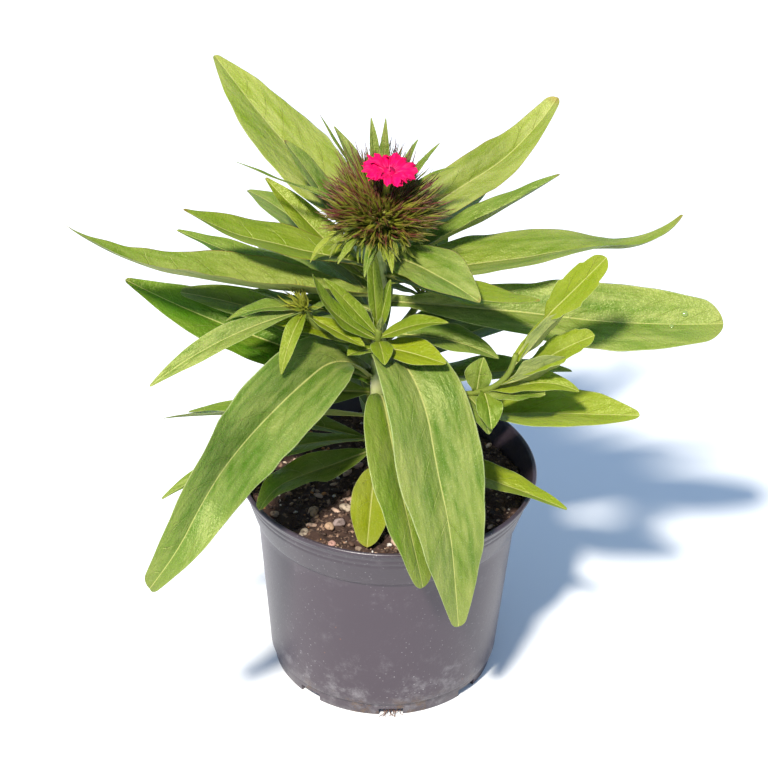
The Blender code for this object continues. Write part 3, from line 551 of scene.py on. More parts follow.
def tubes(paths, radii, sides):
    """Many round bodies at once: rings carried along paths, each square to its path, closed by fans.

    paths is (bodies, steps, 3) and radii (bodies, steps).
    """
    bodies, steps = radii.shape
    way = unit(np.gradient(paths, axis=1))
    reach = unit(paths[:, -1] - paths[:, 0])
    helper = np.where(np.abs(reach[:, 2:]) > 0.8, (1.0, 0.0, 0.0), (0.0, 0.0, 1.0))
    first = unit(np.cross(way, helper[:, None, :]))
    second = np.cross(way, first)
    turn = 2 * np.pi * np.arange(sides) / sides
    ring = (first[:, :, None, :] * np.cos(turn)[:, None] + second[:, :, None, :] * np.sin(turn)[:, None])
    points = paths[:, :, None, :] + ring * radii[:, :, None, None]
    start = np.arange(bodies)[:, None, None] * steps * sides
    faces = (grid_faces(steps, sides)[None] + start).reshape(-1, 4)
    fan = np.arange(1, sides - 1)
    low = np.stack([np.zeros_like(fan), fan + 1, fan], -1)
    high = np.stack([np.zeros_like(fan), fan, fan + 1], -1) + (steps - 1) * sides
    caps = np.concatenate([(low[None] + start).reshape(-1, 3), (high[None] + start).reshape(-1, 3)])
    return points, [faces, caps]


def spun(profile, sectors):
    """A turned body: a closed profile of radius and height carried round the axis, or one row a sector."""
    profile = np.broadcast_to(profile, (len(sectors),) + profile.shape[-2:])
    radius = profile[..., 0]
    turn = sectors[:, None]
    points = np.stack([radius * np.cos(turn), radius * np.sin(turn), profile[..., 1]], -1)
    rows = len(sectors)
    columns = profile.shape[1]
    faces = grid_faces(rows + 1, columns) % (rows * columns)
    return points, [faces]


def midrib(row, steps, crowd=1.0):
    """Follows the midrib, whose rise and turn run evenly between their angles.

    With crowd above one, the steps grow shorter towards the tip. Returns the share along, the points,
    the sideways vectors and the upward ones, turned by the roll.
    """
    fine = np.linspace(0, 1, MIDRIB_STEPS + 1)
    stations = np.linspace(0, 1, len(row["rise"]))
    rise = np.radians(np.interp(fine, stations, row["rise"]))
    swing = np.interp(fine, np.linspace(0, 1, len(row["swing"])), row["swing"])
    compass = np.radians(row["compass"] + swing)
    step = np.stack([np.cos(rise) * np.cos(compass), np.cos(rise) * np.sin(compass), np.sin(rise)], 1)
    middles = (step[1:] + step[:-1]) / 2 * row["length"] / MIDRIB_STEPS
    start = np.radians(row["compass"])
    base = np.array([row["stem"][0] + row["off"] * math.cos(start),
                     row["stem"][1] + row["off"] * math.sin(start), row["height"]])
    points = base + np.vstack([np.zeros(3), np.cumsum(middles, axis=0)])
    along = 1 - np.linspace(1, 0, steps + 1) ** crowd
    point = np.stack([np.interp(along, fine, points[:, k]) for k in range(3)], 1)
    tangent = np.stack([np.interp(along, fine, step[:, k]) for k in range(3)], 1)
    turn = np.interp(along, fine, compass)
    side = np.stack([np.sin(turn), -np.cos(turn), np.zeros_like(turn)], 1)
    up = np.cross(side, tangent)
    roll = np.radians(np.interp(along, np.linspace(0, 1, len(row["roll"])), row["roll"]))[:, None]
    across = side * np.cos(roll) + up * np.sin(roll)
    above = up * np.cos(roll) - side * np.sin(roll)
    return along, point, across, above


def half_width(row, along):
    """A lance shape past the petiole: a sine bulge moved to its widest place, never under its neck."""
    share = np.clip((along - row["petiole"]) / (1 - row["petiole"]), 0, 1)
    moved = share ** (math.log(0.5) / math.log(row["widest"]))
    bulge = np.sin(np.pi * moved) ** row["point"]
    neck = row["neck"] * (1 - along) ** 2
    half = row["width"] / 2 * np.maximum(bulge, neck)
    if row["teeth"]:
        half = half * (1 + 0.16 * ((along * row["teeth"]) % 1.0 - 0.5))
    return half


def blade(row, steps, over, detail=0.0, seed=0):
    """The blade's middle sheet: a V across the midrib, rounded at its keel, with waved margins.

    detail adds a rounded tip, ruffles at the margins, and pads between the side veins, which leave the
    midrib at a low angle and bend forward as they near the margin. Returns the sheet, the distance across
    it, the share along it and the phase of its side veins.
    """
    along, point, across, above = midrib(row, steps, 1 + TIP_CROWDING * detail)
    distance = along * row["length"]
    uneven = 1 + 0.05 * detail * smooth_noise(np.stack([distance, 0 * along, 0 * along + 3.7], 1), 9, seed)
    blunt = detail * 0.1 * np.clip(1.1 - row["point"], 0, 1) * along ** 4
    half = half_width(row, along * (1 - blunt)) * uneven
    cap = max(half[-1], SLIMMEST_HALF)
    left = np.clip(row["length"] - distance, 0, cap)
    rounded = half * np.sqrt(left * (2 * cap - left)) / cap
    half = np.maximum(np.minimum(half, rounded), SLIMMEST_HALF)[:, None]
    s = along[:, None]
    fold = math.radians(row["fold"])
    reach = np.sqrt(over ** 2 + 0.01) - 0.1
    x = half * over
    wave = row["wave"] * np.sin(2 * np.pi * row["waves"] * s + 1.1 * np.sign(over)) * over ** 2
    lift = half * reach * math.sin(fold) + wave * np.sin(np.pi * s)
    place = np.stack(np.broadcast_arrays(distance[:, None], x, 0 * x), -1)
    forward = 1.5 * np.abs(x) + 0.045 * x ** 2 + 2.2 * smooth_noise(place, 15, seed + 3)
    phase = (distance[:, None] - forward) / settings().leaves.vein_gap + 0.22 * np.tanh(3 * over)
    if detail:
        margin = np.stack(np.broadcast_arrays(distance[:, None], 40 * np.sign(over), 0 * x), -1)
        ruffle = smooth_noise(margin, 8, seed + 1) * np.abs(over) ** 2.5
        bulge = smooth_noise(place * (0.6, 1.0, 1.0), 8, seed + 2)
        pads = np.cos(2 * np.pi * phase) * np.sin(np.pi * np.clip(np.abs(over), 0, 1)) * half / 14
        puffed = np.sin(np.pi * np.clip(np.abs(over), 0, 1)) * half / 14
        relief = 0.6 * ruffle + 0.35 * bulge - 0.14 * pads + 0.7 * puffed
        lift = lift + detail * relief * np.sin(np.pi * s) ** 0.7
    sheet = point[:, None, :] + (x * math.cos(fold))[..., None] * across[:, None, :]
    sheet = sheet + lift[..., None] * above[:, None, :]
    return sheet, x, s, phase


def add_blade(shape, row, columns, spacing, seed):
    """A fine blade on both faces: thick at the midrib, thin at the margin, a groove above, a rib below.

    Its columns lie closer near the midrib, and the last one on each side is a narrow margin.
    """
    steps = max(8, round(row["length"] / spacing))
    even = np.linspace(-1, 1, columns + 1)[None, :]
    inner = np.abs(even) * columns / (columns - 2)
    over = np.sign(even) * np.where(inner > 1.01, 1, 0.975 * inner ** 1.3)
    sheet, x, s, phase = blade(row, steps, over, detail=1.0, seed=seed)
    normal = unit(np.cross(np.gradient(sheet, axis=0), np.gradient(sheet, axis=1)))
    middle = midrib(row, steps, 1 + TIP_CROWDING)[3]
    normal = normal * np.where(np.sum(normal * middle[:, None, :], axis=-1, keepdims=True) < 0, -1, 1)
    taper = np.clip(1.15 - s, 0.15, 1)
    thick = settings().leaves.thickness * (1 - 0.75 * over ** 2) * taper
    small = min(1, row["width"] / 16)
    rib = RIB_HEIGHT * np.exp(-(x / small) ** 2) * taper * (0.4 + 0.6 * (1 - s) ** 2) * small
    groove = GROOVE_DEPTH * np.exp(-(x / (0.7 * small)) ** 2) * taper * small
    upper = sheet + normal * (thick / 2 - groove)[..., None]
    lower = sheet - normal * (thick / 2 + rib)[..., None]
    ring, faces = thin_body(upper, lower)
    lay = np.stack(np.broadcast_arrays(x / small, s * row["length"] / small + 211 * seed, over), -1)
    top = np.stack(np.broadcast_arrays(phase, 0 * x, s), -1)
    under = np.stack(np.broadcast_arrays(phase, 0 * x + 1, s), -1)
    shape.add(ring, faces, lay=ring_rows(lay, lay), mark=ring_rows(top, under), tone=row["tone"])


def bloom_axis():
    """The bloom faces straight away from the head's eye."""
    return unit(np.array(BLOOM_CENTRE) - np.array(HEAD_EYE))


def needle_rows():
    """The awl-shaped buds, spread evenly over a dome: start and end of each.

    An awl that would meet a leaf is tilted up until it clears, and those under the bloom stop short of it.
    """
    rng = np.random.default_rng(SEED)
    eye = np.array(HEAD_EYE)
    near = [row for row in LEAVES + SHOOT_LEAVES["front_shoot"] if row["height"] > 155]
    over = np.linspace(-1, 1, 7)[None, :]
    blades = np.concatenate([blade(row, 24, over)[0].reshape(-1, 3) for row in near])
    blades = blades[np.linalg.norm(blades - eye, axis=1) < 1.3 * HEAD_REACH]
    axis = bloom_axis()
    rows = []
    for k in range(NEEDLES):
        level = 1 - (k + 0.5) / NEEDLES * NEEDLE_SPREAD
        turn = k * math.pi * (3 - math.sqrt(5))
        reach = HEAD_REACH * rng.uniform(0.88, 1.03)
        # The solids draw each awl's thickness here, so a number is drawn to keep in step
        rng.uniform(1.0, 1.35)
        climb = math.asin(level)
        for _ in range(NEEDLE_TILTS):
            level_part = math.cos(climb)
            way = np.array([level_part * math.cos(turn), level_part * math.sin(turn), math.sin(climb)])
            if way @ axis > math.cos(math.radians(BLOOM_CONE)):
                reach = min(reach, BLOOM_CLEARANCE / (way @ axis))
            along = np.linspace(1.3 * NEEDLE_ROOT, reach, 10)[:, None]
            gaps = np.linalg.norm((eye + way * along)[:, None, :] - blades[None], axis=2)
            if gaps.min() > NEEDLE_CLEARANCE:
                rows.append((eye + way * NEEDLE_ROOT, eye + way * reach))
                break
            climb += math.radians(NEEDLE_TILT)
    return rows


def soil_height(x, y):
    """The soil's top: broad lumps, then clods, crumbs and grains in ever smaller noise."""
    broad = np.sin(0.31 * x + 1) * np.cos(0.27 * y) + 0.6 * np.sin(0.9 * x + 0.7 * y)
    place = np.stack([x, y, 0 * x], -1)
    clods = 1.0 * smooth_noise(place, 7, 11) + 0.75 * smooth_noise(place, 3.2, 12)
    grains = 0.5 * smooth_noise(place, 1.7, 13)
    return SOIL_LEVEL + 0.8 * broad + clods + grains


def pot_inner_radius(height):
    """The radius of the pot's inner wall at a height."""
    band_foot = POT_HEIGHT - BAND_HEIGHT
    heights = [POT_FLOOR, LEDGE_HEIGHT + POT_WALL, band_foot - POT_WALL, band_foot + POT_WALL,
               POT_HEIGHT - 1]
    radii = np.array([FOOT_RADIUS, LEDGE_RADIUS, WALL_TOP_RADIUS, BAND_FOOT_RADIUS, RIM_RADIUS - 0.7])
    return np.interp(height, heights, radii - POT_WALL)


# Procedural surfaces


def scaled(colour, factor):
    """A colour made lighter or darker."""
    return tuple(factor * part for part in colour)


def shared(name, make):
    """The material of that name, made when it is first needed."""
    return bpy.data.materials.get(name) or make()


class Paint:
    """A procedural material, with short names for the nodes that it is made of."""

    def __init__(self, name, roughness):
        self.material = bpy.data.materials.new(name)
        self.material.use_nodes = True
        self.tree = self.material.node_tree
        self.surface = self.tree.nodes["Principled BSDF"]
        self.surface.inputs["Roughness"].default_value = roughness
        self.place = self.tree.nodes.new("ShaderNodeTexCoord").outputs["Object"]

    def give(self, value, socket):
        """Links an output to a socket, or sets the socket to a number or colour."""
        if isinstance(value, bpy.types.NodeSocket):
            self.tree.links.new(value, socket)
        elif isinstance(value, (int, float)):
            socket.default_value = value
        else:
            socket.default_value = (*value, 1.0)[:4]

    def math(self, operation, first, second=0.0, clamp=False):
        """One sum, product or the like of two values."""
        node = self.tree.nodes.new("ShaderNodeMath")
        node.operation = operation
        node.use_clamp = clamp
        self.give(first, node.inputs[0])
        self.give(second, node.inputs[1])
        return node.outputs[0]

    def plus(self, first, second, clamp=False):
        """The sum of two values."""
        return self.math("ADD", first, second, clamp)

    def minus(self, first, second, clamp=False):
        """The first value less the second."""
        return self.math("SUBTRACT", first, second, clamp)

    def times(self, first, second, clamp=False):
        """The product of two values."""
        return self.math("MULTIPLY", first, second, clamp)

    def larger(self, first, second):
        """The larger of two values."""
        return self.math("MAXIMUM", first, second)

    def size(self, value):
        """A value without its sign."""
        return self.math("ABSOLUTE", value)

    def fade(self, value, low, high, start=0.0, end=1.0):
        """A smooth step from start to end as the value goes from low to high."""
        node = self.tree.nodes.new("ShaderNodeMapRange")
        node.interpolation_type = "SMOOTHSTEP"
        self.give(value, node.inputs["Value"])
        self.give(low, node.inputs["From Min"])
        self.give(high, node.inputs["From Max"])
        self.give(start, node.inputs["To Min"])
        self.give(end, node.inputs["To Max"])
        return node.outputs["Result"]

    def mix(self, factor, first, second):
        """A blend of two colours."""
        node = self.tree.nodes.new("ShaderNodeMix")
        node.data_type = "RGBA"
        self.give(factor, node.inputs[0])
        self.give(first, node.inputs[6])
        self.give(second, node.inputs[7])
        return node.outputs[2]

    def noise(self, scale, detail=3.0, rough=0.5, vector=None):
        """Cloudy noise from 0 to 1. Its scale is in features a metre, or a millimetre on a blade."""
        node = self.tree.nodes.new("ShaderNodeTexNoise")
        self.give(vector or self.place, node.inputs["Vector"])
        node.inputs["Scale"].default_value = scale
        node.inputs["Detail"].default_value = detail
        node.inputs["Roughness"].default_value = rough
        return node.outputs[0]

    def cells(self, scale):
        """Distance to the nearest of many scattered seeds."""
        node = self.tree.nodes.new("ShaderNodeTexVoronoi")
        self.give(self.place, node.inputs["Vector"])
        node.inputs["Scale"].default_value = scale
        return node.outputs["Distance"]

    def stretch(self, vector, factors):
        """A vector with each of its parts scaled."""
        node = self.tree.nodes.new("ShaderNodeVectorMath")
        node.operation = "MULTIPLY"
        self.give(vector, node.inputs[0])
        node.inputs[1].default_value = factors
        return node.outputs[0]

    def read(self, name):
        """The three numbers that each point carries under a name, and all three as a vector."""
        node = self.tree.nodes.new("ShaderNodeAttribute")
        node.attribute_name = name
        parts = self.tree.nodes.new("ShaderNodeSeparateXYZ")
        self.tree.links.new(node.outputs["Vector"], parts.inputs[0])
        return parts.outputs[0], parts.outputs[1], parts.outputs[2], node.outputs["Vector"]

    def bump(self, height, distance, strength):
        """Small relief, its distance in metres."""
        node = self.tree.nodes.new("ShaderNodeBump")
        node.inputs["Distance"].default_value = distance
        node.inputs["Strength"].default_value = strength
        self.give(height, node.inputs["Height"])
        self.tree.links.new(node.outputs[0], self.surface.inputs["Normal"])

    def finish(self, colour, roughness=None, **uniform):
        """Sets the base colour, a varying roughness and the shader's uniform values."""
        self.give(colour, self.surface.inputs["Base Color"])
        if roughness is not None:
            self.give(roughness, self.surface.inputs["Roughness"])
        for name, value in uniform.items():
            self.surface.inputs[name.replace("_", " ")].default_value = value
        return self.material


def leaf_surface():
    """A satin blade: green and yellow-green patches, long frosty streaks that are partly painted sheen, a
    thin pale rib, forked veins.
    """
    greens = settings().leaves
    paint = Paint("satin_leaf", 0.45)
    across, _, over, lay = paint.read("lay")
    phase, under, share, _ = paint.read("mark")
    yellow, frost, brown, _ = paint.read("tone")
    side = paint.size(across)
    edge_share = paint.size(over)
    to_vein = paint.size(paint.minus(paint.math("FRACT", phase), 0.5))

    # Patches of green
    streaks = paint.noise(0.3, 5, 0.62, paint.stretch(lay, (1.0, 0.1, 0.0)))
    patches = paint.noise(0.09, 3, 0.5, paint.stretch(lay, (1.0, 0.35, 0.0)))
    lean = paint.times(paint.minus(patches, 0.5), 0.8)
    lean = paint.plus(lean, paint.times(paint.minus(streaks, 0.5), 0.35))
    lean = paint.plus(lean, paint.math("POWER", yellow, 1.6), clamp=True)
    colour = paint.mix(lean, greens.green, greens.yellow)

    # Frost in clouds, towards the tip and as fine hairs: partly the leaf's pale bloom, partly painted sheen
    # and glints
    near_vein = paint.times(paint.fade(to_vein, 0.02, 0.3, 0.08, 0.0), paint.fade(edge_share, 0.9, 0.3))
    misty = paint.minus(paint.plus(streaks, paint.times(patches, 0.35)), near_vein)
    clouds = paint.fade(misty, 0.30, 1.10)
    cloud = paint.times(clouds, frost)
    tip = paint.times(paint.fade(share, 0.7, 1.0), paint.times(frost, 0.6))
    cloud = paint.larger(cloud, tip)
    colour = paint.mix(cloud, colour, greens.frost)
    specks = paint.fade(paint.noise(2300, 2, 0.6), 0.55, 0.72)
    colour = paint.mix(paint.times(specks, paint.times(frost, 0.3)), colour, HAIR_AND_GLINT_SPECK)

    # Side veins that fork near the margin, and the underside
    fork = paint.times(paint.fade(edge_share, 0.35, 0.9), 0.2)
    vein = paint.size(paint.minus(to_vein, fork))
    vein = paint.fade(vein, 0.0, 0.03, 1.0, 0.0)
    vein = paint.times(vein, paint.fade(edge_share, 0.5, 0.9, 1.0, 0.0))
    vein = paint.times(vein, paint.fade(patches, 0.42, 0.6, 0.1, 1.0))
    colour = paint.mix(paint.times(vein, 0.26), colour, greens.rib)
    colour = paint.mix(under, colour, paint.mix(clouds, greens.under, greens.frost))

    # Midrib and margin
    width = paint.fade(share, 0.0, 1.0, 1.0, 0.4)
    rib = paint.fade(paint.math("DIVIDE", side, width), 0.2, 0.55, 1.0, 0.0)
    colour = paint.mix(paint.times(rib, 0.85), colour, greens.rib)
    edge = paint.fade(edge_share, 0.955, 0.99)
    worn = paint.times(paint.larger(edge, paint.fade(share, 0.955, 1.0)), brown)
    colour = paint.mix(worn, colour, paint.mix(yellow, WORN_BROWN, WORN_ORANGE))
    pale_edge = paint.times(edge, paint.minus(0.6, brown, clamp=True))
    colour = paint.mix(pale_edge, colour, PALE_MARGIN)

    # Gloss and relief
    grain = paint.noise(1300, 2)
    satin = paint.plus(paint.fade(under, 0.0, 1.0, 0.38, 0.52), paint.times(cloud, 0.1))
    roughness = paint.plus(satin, paint.times(paint.minus(grain, 0.5), 0.25))
    relief = paint.minus(paint.times(grain, 0.4), paint.times(vein, 0.5))
    quilt = paint.noise(0.55, 3, 0.55, paint.stretch(lay, (1.0, 0.45, 0.0)))
    relief = paint.plus(relief, paint.times(quilt, 1.6))
    paint.bump(relief, 0.0005, 0.8)
    return paint.finish(colour, roughness, Specular_IOR_Level=0.34, Specular_Tint=(1.0, 1.0, 0.5, 1.0),
                        Subsurface_Weight=0.1, Subsurface_Scale=0.002, Subsurface_Radius=(0.5, 1.0, 0.1))


def stem_surface():
    """A pale green stem, finely clouded."""
    paint = Paint("pale_stem", 0.45)
    clouds = paint.noise(160, 4)
    colour = paint.mix(paint.fade(clouds, 0.35, 0.65), STEM_GREEN, STEM_PALE)
    paint.bump(paint.noise(700, 2), 0.0002, 0.6)
    return paint.finish(colour)


def awl_surface():
    """Awls that go from a foot darkened with painted shade over yellow-green and olive to a red-brown tip,
    or stay green; their bodies are lighter or darker at random, partly painted sun and shade.
    """
    flower = settings().flower
    paint = Paint("bristly_awls", 0.5)
    share, lean, green, _ = paint.read("mark")
    foot = paint.mix(lean, AWL_FOOT_GREEN, AWL_FOOT_YELLOW)
    # Each awl's body is a darker or a lighter copy of one colour at random: partly the awls' own tone,
    # partly painted sun and shade
    body = paint.mix(lean, scaled(flower.body, 0.45), scaled(flower.body, 1.4))
    colour = paint.mix(paint.fade(share, 0.1, 0.5), foot, body)
    # Painted shade: each awl is darkened towards its foot, deep inside the head
    colour = paint.mix(paint.fade(share, 0.0, 0.35, 0.7, 0.0), colour, AWL_FOOT_PAINTED_SHADE)
    turning = paint.plus(share, paint.times(paint.minus(lean, 0.5), 0.6))
    turned = paint.minus(paint.fade(turning, 0.55, 0.95), green, clamp=True)
    colour = paint.mix(turned, colour, flower.tip)
    paint.bump(paint.noise(900, 2), 0.0002, 0.5)
    return paint.finish(colour)


def petal_surface():
    """A magenta petal, a little lighter in soft mottles, with short pale rays round the throat."""
    flower = settings().flower
    paint = Paint("frilled_petal", 0.6)
    out, over, _, _ = paint.read("mark")
    rays = paint.math("SINE", paint.times(over, 19.0))
    rays = paint.times(paint.fade(rays, 0.4, 1.0), paint.fade(out, 0.12, 0.45, 1.0, 0.0))
    mottled = paint.fade(paint.noise(420, 3), 0.4, 0.7)
    colour = paint.mix(mottled, scaled(flower.petal, 0.7), PETAL_LIGHT)
    colour = paint.mix(paint.fade(out, 0.5, 0.0, 0.0, 0.5), colour, PETAL_THROAT)
    colour = paint.mix(paint.times(rays, 0.45), colour, PETAL_RAY)
    paint.bump(paint.plus(rays, paint.noise(700, 2)), 0.0003, 0.5)
    return paint.finish(colour, Specular_IOR_Level=0.15)


def pot_surface():
    """Dark satin plastic with a fine grain, painted shade on the rim band, pale dust, rusty specks and
    splashed soil at the foot.
    """
    pot = settings().pot
    paint = Paint("dusty_plastic", 0.4)
    split = paint.tree.nodes.new("ShaderNodeSeparateXYZ")
    paint.give(paint.place, split.inputs[0])
    height = split.outputs[2]
    colour = paint.mix(paint.noise(22, 3), pot.plastic, scaled(pot.plastic, 1.35))
    # Heights here are metres, and the band begins at 0.073
    band = paint.fade(height, 0.0722, 0.0735)
    # Painted shade: the rim band is made darker than the wall for how light falls on its slope
    colour = paint.mix(paint.times(band, 0.3), colour, BAND_PAINTED_SHADE)
    low = paint.larger(paint.fade(height, 0.0, 0.045, 1.0, 0.35), paint.times(band, 0.5))
    specks = paint.fade(paint.cells(520), 0.02, 0.2, 1.0, 0.0)
    speck_field = paint.times(paint.fade(paint.noise(48, 4, 0.6), 0.42, 0.66), low)
    dusty = paint.times(paint.times(specks, speck_field), 0.5 + pot.dust)
    colour = paint.mix(dusty, colour, DUST_SPECK)
    foot = paint.fade(height, 0.004, 0.036, 0.09, 0.0)
    film = paint.plus(paint.noise(110, 8, 0.78), foot)
    film = paint.times(paint.fade(film, 0.52, 0.8), low)
    colour = paint.mix(paint.times(film, 1.1 * pot.dust, clamp=True), colour, DUST_FILM)
    rust = paint.fade(paint.cells(150), 0.0, 0.09, 1.0, 0.0)
    rust = paint.times(rust, paint.fade(paint.noise(35, 2), 0.52, 0.62))
    colour = paint.mix(rust, colour, RUST)
    splash = paint.fade(height, 0.002, 0.013, 1.0, 0.0)
    splash = paint.times(splash, paint.fade(paint.noise(120, 8, 0.75), 0.52, 0.6))
    colour = paint.mix(paint.times(splash, 0.85), colour, SPLASHED_SOIL)
    fine = paint.noise(1400, 2)
    roughness = paint.plus(paint.times(film, 0.25), paint.fade(fine, 0, 1, 0.3, 0.42))
    relief = paint.plus(paint.times(fine, 0.3), paint.times(splash, 0.7))
    paint.bump(relief, 0.0002, 0.5)
    return paint.finish(colour, roughness)


def soil_surface():
    """Damp dark soil with dry light fibres."""
    soil = settings().soil
    paint = Paint("damp_soil", 0.9)
    grains = paint.noise(420, 5, 0.65)
    colour = paint.mix(paint.fade(grains, 0.52, 0.76), soil.dark, soil.light)
    paint.bump(grains, 0.0008, 0.9)
    return paint.finish(colour)


def chip_surface():
    """Stones and chips in their own colours, clouded by noise."""
    paint = Paint("soil_chips", 0.75)
    own = paint.read("tone")[3]
    grains = paint.noise(600, 4)
    colour = paint.mix(paint.fade(grains, 0.45, 0.75), own, CHIP_STAIN)
    paint.bump(grains, 0.0003, 0.7)
    return paint.finish(colour)


def drop_surface():
    """A drop of water: the leaf's green seen through a wet gloss."""
    paint = Paint("water_drop", 0.08)
    return paint.finish(WET_LEAF, Coat_Weight=1.0, Coat_Roughness=0.02)


def floor_surface():
    """The plain pale floor, a little uneven in its tint."""
    paint = Paint("pale_floor", 0.9)
    return paint.finish(paint.mix(paint.noise(6, 2), *FLOOR_TINTS))


# The pieces


def notch_lift(turn):
    """One where an angle lies inside a drain notch's width, zero outside."""
    gap = 360 / NOTCHES
    away = (np.degrees(turn) - FIRST_NOTCH + gap / 2) % gap - gap / 2
    return (np.abs(away) < math.degrees(NOTCH_WIDTH / 2 / FOOT_RADIUS)).astype(float)


def notch_sectors(sectors):
    """Even angles round the pot, with a close pair of angles at each side of each notch."""
    even = np.arange(sectors) * 2 * np.pi / sectors
    half = NOTCH_WIDTH / 2 / FOOT_RADIUS
    centres = np.radians(FIRST_NOTCH) + np.arange(NOTCHES) * 2 * np.pi / NOTCHES
    sides = np.concatenate([centres + side * half + step for side in (-1, 1) for step in (-4e-4, 4e-4)])
    sides = sides % (2 * np.pi)
    clear = np.min(np.abs((even[:, None] - sides[None, :] + np.pi) % (2 * np.pi) - np.pi), axis=1) > 0.006
    return np.sort(np.concatenate([even[clear], sides]))


def pot_profile():
    """The pot's closed profile of radii and heights: floor, inner wall, lip, band, outer wall and foot.

    Its underside is hollow between the foot ring and the middle, and both stand on the floor.
    """
    top = POT_HEIGHT
    band = POT_HEIGHT - BAND_HEIGHT
    slope = (RIM_RADIUS - 1.2 - BAND_FOOT_RADIUS - 0.4) / (BAND_HEIGHT - 3.6)
    wall_slope = (LEDGE_RADIUS - WALL_TOP_RADIUS) / (band - 0.4 - LEDGE_HEIGHT)

    def band_radius(height):
        return BAND_FOOT_RADIUS + 0.4 + slope * (height - band - 0.8)

    inner = np.concatenate([np.linspace(LEDGE_HEIGHT + POT_WALL, band - POT_WALL, 16),
                            np.linspace(band + POT_WALL, top - 1, 6)])
    lip = [(RIM_RADIUS - 1.0 + math.cos(turn), top - 1.0 + math.sin(turn))
           for turn in np.radians(np.arange(90, -61, -15))]
    grooves = [(band_radius(band + place + step) - depth, band + place + step) for place in BAND_GROOVES
               for step, depth in ((0.7, 0), (0.25, 0.22), (-0.25, 0.22), (-0.7, 0))]
    profile = [(radius, POT_FLOOR) for radius in (0.02, 20, NOTCH_INNER_RADIUS, FOOT_RADIUS - POT_WALL)]
    profile += [(float(pot_inner_radius(height)), height) for height in inner]
    profile += [(RIM_RADIUS - 1.6, top - 0.35), (RIM_RADIUS - 1.3, top - 0.05)] + lip
    profile += [(band_radius(top - 2.6) + 0.1, top - 2.5), (band_radius(top - 3.2), top - 3.2)] + grooves
    profile += [(band_radius(height), height) for height in np.linspace(band + 10.5, band + 1.4, 5)]
    profile += [(BAND_FOOT_RADIUS + 0.3, band + 0.7), (BAND_FOOT_RADIUS - 0.2, band + 0.1),
                (WALL_TOP_RADIUS + 0.1, band - 0.1)]
    profile += [(WALL_TOP_RADIUS + wall_slope * (band - 0.4 - height), height)
                for height in np.linspace(band - 0.4, LEDGE_HEIGHT + 0.5, 18)]
    profile += [(LEDGE_RADIUS - 0.2, LEDGE_HEIGHT + 0.05), (FOOT_RADIUS + 0.5, LEDGE_HEIGHT - 0.45),
                (FOOT_RADIUS + 0.35, LEDGE_HEIGHT - 1.4), (FOOT_RADIUS + 0.2, NOTCH_HEIGHT + 0.15),
                (FOOT_RADIUS + 0.15, NOTCH_HEIGHT), (FOOT_RADIUS + 0.02, 0.5), (FOOT_RADIUS - 0.3, 0.0),
                (FOOT_RADIUS - 1.5, 0.0), (FOOT_RADIUS - 1.9, HOLLOW_HEIGHT)]
    profile += [(radius, HOLLOW_HEIGHT)
                for radius in (NOTCH_INNER_RADIUS + 0.1, NOTCH_INNER_RADIUS - 0.1, HOLLOW_INNER_RADIUS)]
    profile += [(MIDDLE_RADIUS, 0.0), (0.02, 0.0)]
    return np.array(profile, float)


def add_pot_piece():
    """The pot: its profile turned round the axis. In a notch, the foot's points move up to its roof."""
    profile = pot_profile()
    sectors = notch_sectors(settings().pot.sectors)
    lift = notch_lift(sectors)[:, None]
    radius = profile[None, :, 0] + 0 * lift
    height = profile[None, :, 1] + 0 * lift
    number = np.arange(len(profile))
    cut = profile[:, 0] >= NOTCH_INNER_RADIUS
    foot = (number > len(profile) - 12) & cut & (profile[:, 1] < NOTCH_HEIGHT)
    floor = (number < 4) & cut
    # The points under the ledge, and the inner edge of the floor above them
    height = np.where(foot & (lift > 0), NOTCH_HEIGHT - 0.02 * (FOOT_RADIUS - radius), height)
    height = np.where(floor & (lift > 0), NOTCH_HEIGHT + 0.5, height)
    points, faces = spun(np.stack([radius, height], -1), sectors)
    shape = Shape()
    shape.add(points, faces)
    shape.piece("nursery_pot", pot_surface(), ["pot"], sharp=38)


def soil_places(rng, count, reach):
    """Random places spread evenly over a disc."""
    distance = reach * np.sqrt(rng.uniform(0, 1, count))
    turn = rng.uniform(0, 2 * np.pi, count)
    return distance * np.cos(turn), distance * np.sin(turn)


